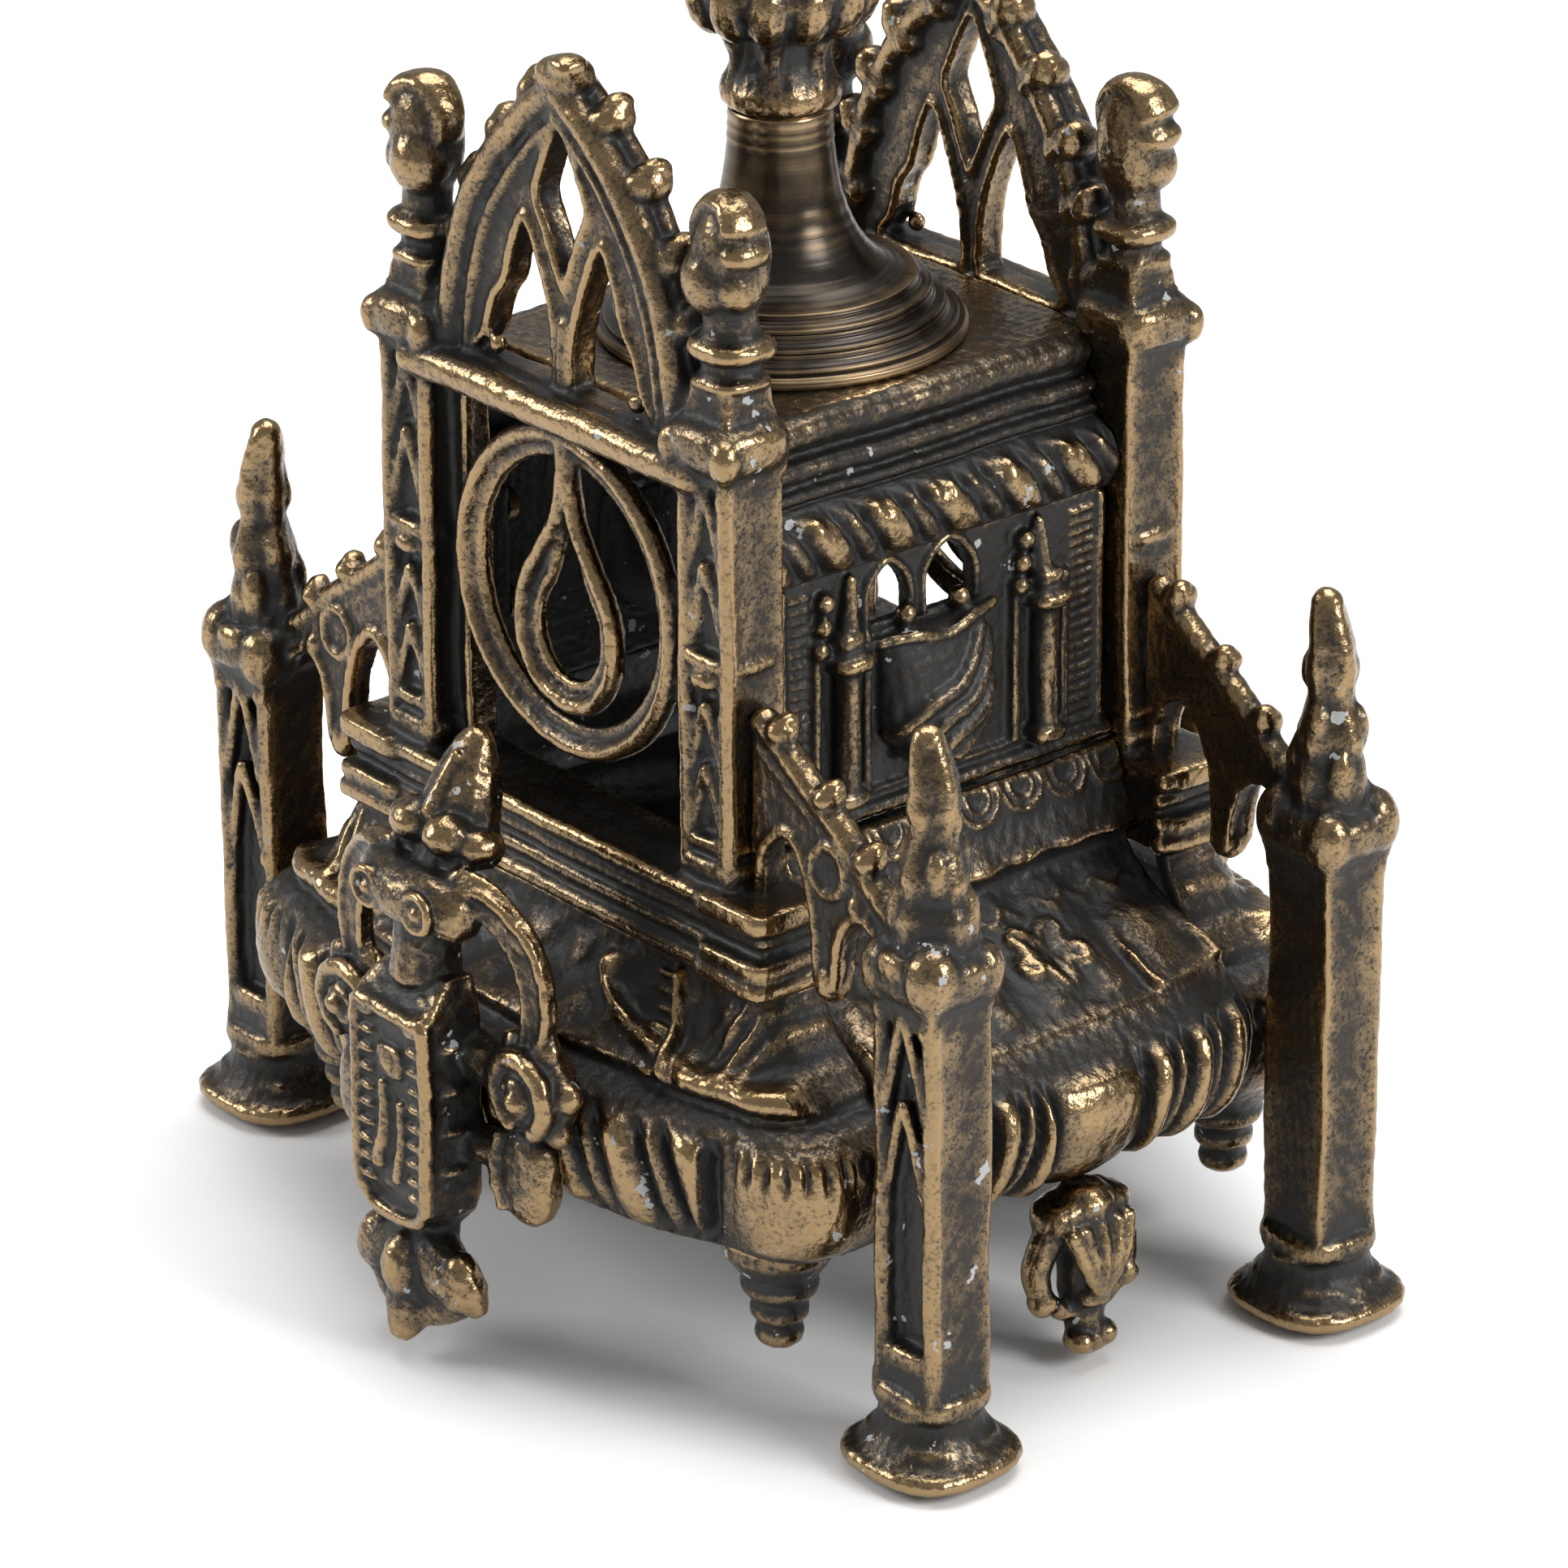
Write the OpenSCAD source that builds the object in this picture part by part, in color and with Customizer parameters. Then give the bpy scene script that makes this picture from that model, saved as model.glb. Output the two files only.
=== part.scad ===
// Table monstrance in cast and turned brass: a hollow base between two Gothic screens, a turned
// and cast stem on a tie rod, and a sunburst head with a glazed lunette and a hinged rear door.
// X runs across the front, Y from front to back and Z up. The origin is on the floor, under the
// middle of the base. Millimetres throughout.

/* [Screens] */
// Distance between the foot pillars of a screen
foot_span = 128; // [124:1:134]
// Distance between the middle planes of the two screens
screen_span = 62.4; // [61:0.2:66]
// Distance between the inner pillars of a screen
pillar_span = 56.6; // [55:0.2:58]
// Height of the foot pinnacle tips
foot_tip_z = 95; // [90:1:100]
// Height of the cross bar's top, where the pointed arch springs
spring_z = 117; // [116:0.5:119]
// Height of the arch's outer point
arch_top_z = 157; // [152:1:162]
// Outer radius of the moulded ring under the bar
ring_r = 21; // [20.6:0.1:21.2]

/* [Box] */
// Half width of the side walls, over the outside
wall_x = 30; // [29:0.5:31]
// Thickness of the cast walls, skirts and aprons
wall_t = 2.6; // [2:0.2:3]
// Height of the ledge that the walls stand on
ledge_z = 66.5; // [65:0.5:68]
// Height of the flat top
plate_z = 117.6; // [117:0.2:119]

/* [Skirt] */
// Half width of the rim at the middle of the sides
rim_x = 59; // [57:0.5:60]
// Half depth of the rim at the middle of the front
rim_y = 53; // [51:0.5:54]
// Height of the rim's lower edge
rim_low_z = 20.5; // [19:0.5:23]

/* [Stem] */
// Radius of the tie rod
rod_r = 3; // [2.5:0.25:3]
// Radius of the turned flange
flange_r = 22.5; // [20:0.5:23.5]
// Radius of the main knop
knop_r = 23; // [20:0.5:25]

/* [Head] */
// Height of the middle of the sunburst
glory_z = 354; // [352:1:358]
// Outer radius of the tracery ring
glory_r = 38; // [37:0.5:39]
// Length of the long rays, from the middle
ray_r = 84; // [76:1:90]
// Number of places around the ring for a ray
ray_count = 32; // [24:4:40]
// Outer radius of the lunette case
case_r = 29; // [28:0.5:29]
// Height of the top of the cross
cross_top_z = 466; // [456:1:476]

/* [Hidden] */
$fn = 48;

foot_x = foot_span / 2;
screen_y = screen_span / 2;
pillar_x = pillar_span / 2;
pillar_w = 9.6;
shaft_w = 11;
shaft_d = 9.4;
bar_x = pillar_x - pillar_w / 2;
rail_low_z = 53.5;
rail_top_z = 64.5;
screen_front = 3.8;
box_y = screen_y - pillar_w / 2 - 0.05;
screw_r = 1.25;
screw_x = pillar_x - 3.1;
screw_z = [80, 93];
bore_r = rod_r + 0.1;
rod_low_z = 105;
rod_top_z = 297;
glass_r = case_r - 2.7;
door_y = 8.2;
door_r = case_r - 0.5;
hinge_x = -(case_r + 2.6);
hinge_y = door_y + 1.6;
latch_x = case_r + 2.8;
pin_r = 0.9;
luna_foot_z = 331.1;

brass = "#8a6d3b";
dark_brass = "#5f4a2a";
turned = "#6e4f2c";
gilt = "#c9a54c";

// ---- plain shapes ----

module rounded(w, d, r) {
    square([w - 2 * r, d], center = true);
    square([w, d - 2 * r], center = true);
    for (sx = [-1, 1], sy = [-1, 1])
        translate([sx * (w / 2 - r), sy * (d / 2 - r)]) circle(r);
}

// A block of w by d that tapers to k times its size.
module taper(w, d, h, k) {
    linear_extrude(h, scale = k) square([w, d], center = true);
}

module block(w, d, h) {
    translate([-w / 2, -d / 2, 0]) cube([w, d, h]);
}

// A pointed arch over the span -a to a, of the given rise, grown inwards by inset.
module ogive(a, rise, inset = 0) {
    r = (a * a + rise * rise) / (2 * a);
    intersection() {
        translate([a - r, 0]) circle(r - inset, $fn = 96);
        translate([r - a, 0]) circle(r - inset, $fn = 96);
        translate([-a, 0]) square([2 * a, rise + 1]);
    }
}

// A narrow pointed window with its foot at the origin.
module lancet(w, straight, rise) {
    translate([-w / 2, 0]) square([w, straight]);
    translate([0, straight]) ogive(w / 2, rise);
}

// A circle drawn out to a point at the given height above its centre.
module teardrop(r, tip) {
    circle(r);
    polygon([[-0.93 * r, 0], [0.93 * r, 0], [0, tip]]);
}

// Stands a drawing of x and z upright, from y to y + t.
module upright(y, t) {
    translate([0, y + t, 0]) rotate([90, 0, 0]) linear_extrude(t) children();
}

// A turned ring or disc about the lunette's axis, from y to y + t.
module about_y(y, t, r, hole = 0) {
    translate([0, y, glory_z]) rotate([-90, 0, 0]) difference() {
        cylinder(t, r = r, $fn = 96);
        if (hole > 0) translate([0, 0, -1]) cylinder(t + 2, r = hole, $fn = 96);
    }
}

// ---- screens ----

// A pillar drawn at its own axis; side is 1 on the right and -1 on the left.
module inner_pillar(side) {
    difference() {
        translate([0, 0, rail_top_z]) block(pillar_w, pillar_w, spring_z - rail_top_z);
        for (z = [[70, 22], [96, 17]])
            translate([-2.3, -pillar_w / 2 - 1, z[0]]) cube([4.6, 2.4, z[1]]);
        for (z = screw_z)
            translate([side * (screw_x - pillar_x), pillar_w / 2 - 6, z]) rotate([-90, 0, 0])
                cylinder(7, r = screw_r + 0.05);
    }
    translate([0, 0, spring_z - 0.5]) block(12.4, 12, 6.5);
    translate([0, 0, spring_z + 6]) taper(11, 11, 3, 0.6);
    translate([0, 0, spring_z + 8]) block(6.4, 6.4, 12);
    translate([0, 0, spring_z + 13]) block(9, 9, 3);
    translate([0, 0, spring_z + 24.5]) sphere(6.2);
    translate([0, -1, spring_z + 29.6]) sphere(3);
}

module arch() {
    rise = arch_top_z - spring_z;
    translate([0, spring_z]) {
        difference() {
            ogive(bar_x, rise);
            translate([0, -1]) ogive(bar_x, rise, 5.2);
        }
        difference() {
            ogive(bar_x, rise, 5);
            for (s = [-1, 1]) translate([s * 8.4, 2]) lancet(10.4, 6.5, 11);
            intersection() {
                translate([9, 22.5]) circle(14);
                translate([-9, 22.5]) circle(14);
            }
        }
        for (s = [-1, 1], k = [0 : 4])
            translate([s * (bar_x * (0.93 - 0.2 * k)), rise * (0.22 + 0.17 * k) + 1.5 - 0.4 * k])
                circle(2.2);
    }
}

// Drawn for the front; the rear screen is the same casting turned round.
module screen() {
    for (s = [-1, 1]) translate([s * pillar_x, -screen_y, 0]) inner_pillar(s);
    upright(-screen_y - screen_front, 4.4) arch();
    translate([-bar_x - 1, -screen_y - 1.9, spring_z - 1.7]) rotate([0, 90, 0])
        cylinder(2 * bar_x + 2, r = 2.1);
    translate([0, -screen_y, spring_z - 3.6]) block(2 * bar_x + 1, 3.6, 3.4);
    upright(-screen_y - 3, 3.2) translate([0, spring_z - 25.2]) {
        difference() {
            circle(ring_r, $fn = 96);
            circle(ring_r - 3.2, $fn = 96);
        }
        translate([0, -6]) difference() {
            teardrop(9.4, 26);
            teardrop(6.6, 15);
        }
        translate([-3, ring_r - 1.5]) square([6, 3]);
    }
    for (s = [-1, 1]) translate([s * (bar_x - 1.5), -screen_y + 1.2, rail_top_z])
        block(3.4, 3, spring_z - rail_top_z - 2);
    translate([0, -screen_y - 1.2, 0]) {
        translate([0, 0, rail_top_z - 2.4]) block(81, 11.6, 2.4);
        translate([0, 0, rail_low_z + 5]) block(77, 9.6, 4);
        translate([0, 0, rail_low_z]) block(80, 11, 5);
    }
}

module front_tracery() { color(brass) screen(); }
module rear_tracery() { color(brass) rotate(180) screen(); }

module foot_pillar() {
    cap_z = 61.5;
    linear_extrude(3.2) rounded(21, 20.5, 6);
    translate([0, 0, 3.2]) taper(18, 17, 6, 0.62);
    translate([0, 0, 9]) block(12.6, 11, 4.4);
    difference() {
        translate([0, 0, 9]) block(shaft_w, shaft_d, cap_z - 8);
        translate([-3.2, -shaft_d / 2 - 1, 15]) cube([6.4, 2.6, 43]);
    }
    translate([0, 0, cap_z]) block(13.6, 12.4, 6);
    translate([0, 0, cap_z + 6]) taper(12.6, 11.6, 2.4, 0.7);
    top = foot_tip_z - cap_z - 8;
    for (k = [0 : 2])
        translate([0, 0, cap_z + 8 + k * top / 3]) taper(8.6 - 2.2 * k, 8.6 - 2.2 * k, top / 3, 0.6);
}

// The raking strut between an inner pillar and a foot pillar.
module flyer() {
    in = pillar_x + pillar_w / 2;
    out = foot_x - shaft_w / 2 + 0.2;
    upright(-1.9, 3.8) difference() {
        polygon([
            [in, 88.5], [out, 70.5], [out, 60.5], [52, 59], [47.8, 55.2], [45.4, 55.2],
            [43, 62.5], [in, 66.5]
        ]);
        translate([in + 5.6, 67.4]) circle(5.4);
        translate([53.6, 57.6]) circle(6);
        translate([46.4, 70.6]) circle(2.1);
    }
}

module buttress(sx, sy) {
    color(brass) mirror([sx < 0 ? 1 : 0, 0, 0]) mirror([0, sy < 0 ? 0 : 1, 0])
        translate([0, -screen_y, 0]) {
            translate([foot_x, 0, 0]) foot_pillar();
            flyer();
        }
}

// ---- skirt: two aprons and two side skirts, each a thin swept shell ----

// How far out, 0 to 1, and how high each station of the moulding lies, from the top down.
apron_out = [0, 0.06, 0.3, 0.56, 0.62, 0.8, 0.97, 1, 0.9, 0.62];
apron_z = [rail_low_z, 51, 46.6, 43.6, 41, 40.4, 37, 32, 25, rim_low_z];
skirt_out = [0, 0.08, 0.14, 0.1, 0.32, 0.66, 0.8, 0.86, 1, 0.97, 0.72];
skirt_z = [ledge_z, 61, 57.5, 53.7, 49.3, 44.8, 43, 40.5, 34, 27, rim_low_z];
skirt_steps = 24;
corner_from = 0.7;
corner_to = 0.92;

// Points round the front, at u from -1 to 1, at station k, moved in by t: a bowed front,
// a round corner and a short return at each end.
function apron_pt(u, k, t) = let(
    s = apron_out[k],
    half = 40 + 14.5 * s - t,
    depth = 36.5 + (rim_y - 44.5) * s - t,
    r = 3.4 + 6.6 * s - t * 0.9,
    w = abs(u),
    f = min(w / corner_from, 1),
    turn = 90 * max(0, min(1, (w - corner_from) / (corner_to - corner_from))),
    g = max(0, (w - corner_to) / (1 - corner_to)),
    x = f * (half - r) + r * sin(turn),
    y = depth + 8 * s * (1 - pow(f, 2.5)) - r * (1 - cos(turn)),
    end = 30 - 1.8 * s
) [sign(u) * x, -(y + g * (end - y)), apron_z[k] - (t > 0 && k < len(apron_z) - 1 ? 0.5 : 0)];

// Points along the right side, at u from -1 to 1, at station k, moved in by t.
function skirt_pt(u, k, t) = let(
    s = skirt_out[k],
    bow = 1 - pow(abs(u), 4),
    reach = wall_x + 1.4 + (rim_x - wall_x - 5.4) * s + 4 * s * bow
) [reach - t, u * (box_y + 1.6 * s), skirt_z[k] - (t > 0 && k < len(skirt_z) - 1 ? 0.5 : 0)];

// Closes an outer and an inner sheet of the same rows and columns into one shell.
module shell(outer, inner) {
    rows = len(outer);
    cols = len(outer[0]);
    n = rows * cols;
    faces = concat(
        [for (r = [0 : rows - 2], c = [0 : cols - 2]) each [
            [r * cols + c, r * cols + c + 1, (r + 1) * cols + c + 1],
            [r * cols + c, (r + 1) * cols + c + 1, (r + 1) * cols + c],
            [n + r * cols + c, n + (r + 1) * cols + c + 1, n + r * cols + c + 1],
            [n + r * cols + c, n + (r + 1) * cols + c, n + (r + 1) * cols + c + 1]
        ]],
        [for (c = [0 : cols - 2]) each [
            [c, n + c, n + c + 1], [c, n + c + 1, c + 1],
            [n - cols + c, 2 * n - cols + c + 1, 2 * n - cols + c],
            [n - cols + c, n - cols + c + 1, 2 * n - cols + c + 1]
        ]],
        [for (r = [0 : rows - 2]) each [
            [r * cols, (r + 1) * cols, n + (r + 1) * cols],
            [r * cols, n + (r + 1) * cols, n + r * cols],
            [(r + 1) * cols - 1, n + (r + 2) * cols - 1, (r + 2) * cols - 1],
            [(r + 1) * cols - 1, n + (r + 1) * cols - 1, n + (r + 2) * cols - 1]
        ]]
    );
    points = concat([for (row = outer) each row], [for (row = inner) each row]);
    polyhedron(points, faces);
}

function us() = [for (i = [0 : skirt_steps]) -1 + 2 * i / skirt_steps];

module apron() {
    rows = [0 : len(apron_z) - 1];
    shell(
        [for (k = rows) [for (u = us()) apron_pt(-u, k, 0)]],
        [for (k = rows) [for (u = us()) apron_pt(-u, k, wall_t)]]
    );
}

module skirt() {
    rows = [0 : len(skirt_z) - 1];
    shell(
        [for (k = rows) [for (u = us()) skirt_pt(-u, k, 0)]],
        [for (k = rows) [for (u = us()) skirt_pt(-u, k, wall_t)]]
    );
}

module front_apron() { color(dark_brass) apron(); }
module rear_apron() { color(dark_brass) rotate(180) apron(); }
module right_skirt() { color(dark_brass) skirt(); }
module left_skirt() { color(dark_brass) rotate(180) skirt(); }

// ---- box ----

module panel() {
    wall_in = wall_x - wall_t;
    top = 99;
    difference() {
        union() {
            translate([wall_in, -box_y, ledge_z]) cube([wall_t, 2 * box_y, top - ledge_z]);
            for (s = [-1, 1]) translate([wall_in - 4.4, s > 0 ? box_y - 2.6 : -box_y, ledge_z + 3])
                cube([5, 2.6, top - ledge_z - 6]);
            for (s = [-1, 1]) translate([wall_x + 0.4, s * 15.8, 70.5]) cylinder(18, r = 1.7);
            translate([wall_x - 0.5, -8.6, 74]) cube([2.2, 15, 15.5]);
        }
        for (y = [-8.3, 0.3]) translate([wall_in - 1, y, 90.5]) rotate([90, 0, 90])
            linear_extrude(8) lancet(5, 3.2, 5);
        for (s = [-1, 1], z = screw_z) translate([screw_x, s * box_y, z])
            rotate([s * 90, 0, 0]) translate([0, 0, -1]) cylinder(5, r = screw_r + 0.05);
    }
}

module right_panel() { color(dark_brass) panel(); }
module left_panel() { color(dark_brass) rotate(180) panel(); }

module cornice() {
    translate([0, box_y, 0]) rotate([90, 0, 0]) linear_extrude(2 * box_y) polygon([
        [23.9, 99], [23.9, plate_z - 2.7], [24.2, plate_z - 2.7], [24.6, 112.6], [26.9, 109.4],
        [27.1, 107.4], [29.6, 107], [31.4, 104.8], [31.7, 102], [30.8, 99]
    ]);
}

module right_cornice() { color(dark_brass) cornice(); }
module left_cornice() { color(dark_brass) rotate(180) cornice(); }

module top_plate() {
    color(dark_brass) difference() {
        translate([0, 0, plate_z - 2.6]) linear_extrude(2.6) rounded(49.4, 2 * screen_y - 3.8, 3);
        translate([0, 0, plate_z - 4]) cylinder(6, r = bore_r);
        for (sx = [-1, 1], sy = [-1, 1]) translate([sx * pillar_x, sy * screen_y, plate_z - 5])
            block(13.4, 13, 8);
        for (s = [-1, 1]) translate([0, s * (screen_y + 1.6), plate_z - 5])
            block(2 * bar_x, 5.2, 8);
    }
}

module screen_screws() {
    color("#9c9c98") for (sx = [-1, 1], sy = [-1, 1], z = screw_z)
        translate([sx * screw_x, sy * box_y, z]) rotate([sy * 90, 0, 0]) {
            translate([0, 0, 2.6]) cylinder(1.4, r = 2.1);
            translate([0, 0, -5]) cylinder(7.6, r = screw_r);
        }
}

// ---- ornaments on the base ----

// A mitred shield on a stalk, drawn at the front; its peg runs into the apron.
module shield() {
    back = -(rim_y + 0.2);
    translate([0, back + 3, 34]) rotate([90, 0, 0]) cylinder(6, r = 2.6);
    translate([0, back - 4.4, 16]) rotate([5, 0, 0]) block(15, 7.6, 32);
    upright(back - 6.4, 4.4) for (s = [-1, 1]) {
        translate([s * 12.6, 41]) circle(5.6);
        translate([s * 9.4, 22]) circle(4.2);
        translate([s * 9.8, 56]) difference() {
            circle(8.4);
            circle(5.6);
        }
    }
    translate([0, back - 3, 47]) taper(9, 7, 6, 0.7);
    translate([0, back + 0.6, 57]) rotate([0, 90, 0]) translate([0, 0, -8]) cylinder(16, r = 4.2);
    translate([0, back - 0.6, 52]) block(9, 8, 18);
    translate([0, back + 3, 70]) taper(11, 10, 9, 0.4);
    translate([0, back - 5, 9]) block(7, 6, 8);
    for (s = [-1, 1]) translate([s * 5.6, back - 6, 9]) sphere(3.8);
    translate([0, back - 8, 1.6]) rotate([5, 0, 0]) cylinder(8, r1 = 1.8, r2 = 4.2);
}

module front_shield() { color(brass) shield(); }
module rear_shield() { color(brass) rotate(180) shield(); }

// A leafy bracket under the rim at the middle of a side, with a peg into the skirt.
module pendant() {
    translate([rim_x - 4.2, 0, rim_low_z - 6]) block(8, 14, 7.4);
    translate([rim_x - 6, 0, rim_low_z]) cylinder(3.4, r = 2);
    translate([rim_x - 4, 0, 5]) taper(7, 8, 10, 1.2);
    for (s = [-1, 1]) translate([rim_x - 4, s * 5.4, 9.6]) sphere(3);
    translate([rim_x - 2.6, 0, 4]) sphere(3);
}

module right_pendant() { color(brass) pendant(); }
module left_pendant() { color(brass) rotate(180) pendant(); }

module corner_drops() {
    color(brass) for (sx = [-1, 1], sy = [-1, 1])
        translate([sx * 42, sy * 36, 0]) rotate_extrude() polygon([
            [0, 6.4], [2, 6.6], [3.2, 8.4], [2.8, 10.2], [4.2, 11.6], [3.4, 13.4],
            [5.6, 15.6], [5.4, rim_low_z], [0, rim_low_z]
        ]);
}

// ---- stem ----

module tie_rod() {
    color("#a8a8a4") translate([0, 0, rod_low_z]) cylinder(rod_top_z - rod_low_z, r = rod_r);
}

module tie_washer() {
    color("#a8a8a4") translate([0, 0, plate_z - 4]) difference() {
        cylinder(1.4, r = 8);
        translate([0, 0, -1]) cylinder(4, r = bore_r);
    }
}

module tie_nut() {
    color("#a8a8a4") translate([0, 0, plate_z - 9]) difference() {
        cylinder(5, r = 5.8, $fn = 6);
        translate([0, 0, -1]) cylinder(8, r = bore_r);
    }
}

// A turned piece of the stem from its outline of [radius, height], bored for the tie rod.
module turned_piece(outline) {
    low = outline[0][1];
    high = outline[len(outline) - 1][1];
    difference() {
        rotate_extrude($fn = 72) polygon(concat([[0, low]], outline, [[0, high]]));
        translate([0, 0, low - 1]) cylinder(high - low + 2, r = bore_r);
    }
}

flange_h = 28;
cup_z = plate_z + flange_h;
neck_r = 6.3;

// The flange's outline: three rolled steps, then a quarter hollow rising to the neck.
function flange_outline() = concat(
    [[flange_r, plate_z], [flange_r, plate_z + 1.2]],
    [for (k = [0 : 2]) each [
        [flange_r - 1.1 - 1.6 * k, plate_z + 1.8 + 1.9 * k],
        [flange_r - 1.3 - 1.6 * k, plate_z + 3.1 + 1.9 * k]
    ]],
    [for (i = [0 : 8]) let(a = 90 * i / 8) [
        neck_r + (flange_r - neck_r - 5.4) * pow(1 - sin(a), 1.15),
        plate_z + 7.2 + (flange_h - 7.2) * (1 - cos(a))
    ]]
);

module stem_flange() { color(turned) turned_piece(flange_outline()); }

module lower_knop() {
    color(brass) turned_piece([
        [6.6, cup_z], [7, cup_z + 2], [6.4, cup_z + 4], [5.4, cup_z + 6], [5.6, cup_z + 8.6],
        [8, cup_z + 11], [11.4, cup_z + 13.4], [12, cup_z + 16.4], [9.6, cup_z + 19],
        [6.6, cup_z + 21], [5.8, cup_z + 25], [7.4, cup_z + 28.4]
    ]);
}

collar_z = cup_z + 28.4;
shaft_z = collar_z + 6;
main_z = shaft_z + 40;
upper_z = main_z + 34;
socket_z = upper_z + 18;
socket_top = glory_z - glory_r;

module stem_collar() {
    color(turned) turned_piece([
        [8, collar_z], [11.4, collar_z + 1.2], [11.8, collar_z + 2.6], [10.4, collar_z + 4],
        [11, collar_z + 5], [10.6, shaft_z]
    ]);
}

module gothic_shaft() {
    high = main_z - shaft_z;
    color(brass) translate([0, 0, shaft_z]) difference() {
        union() {
            cylinder(high, r = 7.4, $fn = 6);
            cylinder(4, r = 10.2, $fn = 6);
            translate([0, 0, high - 4]) cylinder(4, r = 10.2, $fn = 6);
            for (a = [0 : 60 : 300]) rotate(a) translate([7.4, 0, 0]) block(3, 2.4, high - 1);
        }
        translate([0, 0, -1]) cylinder(high + 2, r = bore_r);
    }
}

module main_knop() {
    color(brass) turned_piece([
        [8.4, main_z], [9.4, main_z + 2.4], [14, main_z + 5], [19.4, main_z + 10],
        [knop_r - 2, main_z + 14.6], [knop_r - 2, main_z + 19.4], [19.4, main_z + 24],
        [14, main_z + 29], [9.4, main_z + 31.6], [8.4, upper_z]
    ]);
}

// Six lozenge bosses with round faces, standing on the knop's belt.
module knop_bosses() {
    color(gilt) for (a = [30 : 60 : 330]) rotate(a) translate([knop_r - 2.6, 0, main_z + 17])
        rotate([0, 90, 0]) {
            translate([0, 0, 0.9]) cylinder(2.6, r = 5.8, $fn = 4);
            translate([0, 0, 3]) cylinder(1.4, r = 3.2);
        }
}

module upper_shaft() {
    color(turned) turned_piece([
        [8, upper_z], [9, upper_z + 1.6], [7, upper_z + 3.6], [5.6, upper_z + 8],
        [5.8, upper_z + 13], [8.4, upper_z + 15.6], [8.6, socket_z]
    ]);
}

// The cup that takes the head's tab in a slot, closed by a cross pin.
module head_socket() {
    color(brass) difference() {
        union() {
            translate([0, 0, socket_z]) rotate_extrude() polygon([
                [0, 0], [8.8, 0], [10.2, 2], [8.2, 5], [8.6, 12], [11.4, 17], [11.4, 20], [0, 20]
            ]);
            upright(-4, 8) intersection() {
                polygon([
                    [-11, socket_z + 18], [11, socket_z + 18], [17, socket_top - 3],
                    [17, socket_top + 6], [-17, socket_top + 6], [-17, socket_top - 3]
                ]);
                difference() {
                    translate([-20, socket_z]) square([40, 60]);
                    translate([0, glory_z]) circle(glory_r + 2.3, $fn = 96);
                }
            }
        }
        translate([0, 0, socket_z - 1]) cylinder(rod_top_z - socket_z + 2, r = bore_r);
        translate([-8.1, -1.25, rod_top_z + 1.4]) cube([16.2, 2.5, 60]);
        translate([0, -12, rod_top_z + 8]) rotate([-90, 0, 0]) cylinder(24, r = 1.55);
    }
}

module head_pin() {
    color("#a8a8a4") translate([0, -5, rod_top_z + 8]) rotate([-90, 0, 0]) {
        cylinder(10, r = 1.5);
        cylinder(0.9, r = 2.4);
        translate([0, 0, 9.1]) cylinder(0.9, r = 2.4);
    }
}

// ---- head ----

// One ray pointing along +X, straight and long on even places, short and waved on odd ones.
module ray(i) {
    long = i % 2 == 0;
    tip = long ? ray_r : ray_r - 14;
    root = glory_r - 3;
    w = long ? 4.4 : 5.6;
    steps = 8;
    bend = long ? 0 : 1.3;
    side = [for (k = [0 : steps]) let(f = k / steps)
        [root + (tip - root) * f, w / 2 * (1 - f) + 0.35, bend * sin(f * 540)]];
    polygon(concat(
        [for (p = side) [p[0], p[2] + p[1]]],
        [for (k = [steps : -1 : 0]) [side[k][0], side[k][2] - side[k][1]]]
    ));
}

// Rays stop short of the socket below and of the cross above.
function ray_free(a) = abs(a - 90) > 8 && abs(a - 270) > 26;

module glory() {
    color(gilt) {
        upright(-1.2, 2.4) translate([0, glory_z]) difference() {
            circle(glory_r - 1, $fn = 96);
            circle(case_r + 0.05, $fn = 96);
            for (a = [45 : 90 : 315]) rotate(a) translate([(glory_r + case_r) / 2, 0])
                circle(1.05);
        }
        for (i = [0 : ray_count - 1]) let(a = 360 * i / ray_count)
            if (ray_free(a)) upright(-1.2, 2.4) translate([0, glory_z]) rotate(a) ray(i);
        upright(-1.2, 2.4) difference() {
            translate([-8, rod_top_z + 1.6]) square([16, glory_z - rod_top_z - 32]);
            translate([0, glory_z]) circle(glory_r - 2, $fn = 96);
            translate([0, rod_top_z + 8]) circle(1.55);
        }
    }
}

// A ring of round cusps before the rays, with a rolled rim.
module tracery_ring() {
    mid = (glory_r + case_r) / 2;
    color(brass) upright(-4.4, 3.2) translate([0, glory_z]) difference() {
        union() {
            circle(glory_r - 0.6, $fn = 96);
            for (a = [7.5 : 15 : 352.5]) rotate(a) translate([glory_r - 0.6, 0]) circle(2.6);
        }
        circle(case_r + 0.05, $fn = 96);
        for (a = [45 : 90 : 315]) rotate(a) translate([mid, 0]) circle(1.05);
        for (a = [0 : 15 : 345]) if (a % 45 != 0) rotate(a) translate([mid + 0.6, 0]) circle(2.2);
    }
}

module ring_rivets() {
    color(gilt) for (a = [45 : 90 : 315]) translate([0, 0, glory_z]) rotate([0, -a, 0])
        translate([(glory_r + case_r) / 2, 0, 0]) rotate([-90, 0, 0]) {
            translate([0, 0, -5.4]) cylinder(7.6, r = 1);
            translate([0, 0, -5.4]) cylinder(1, r = 2);
            translate([0, 0, 1.2]) cylinder(1, r = 2);
        }
}

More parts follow.
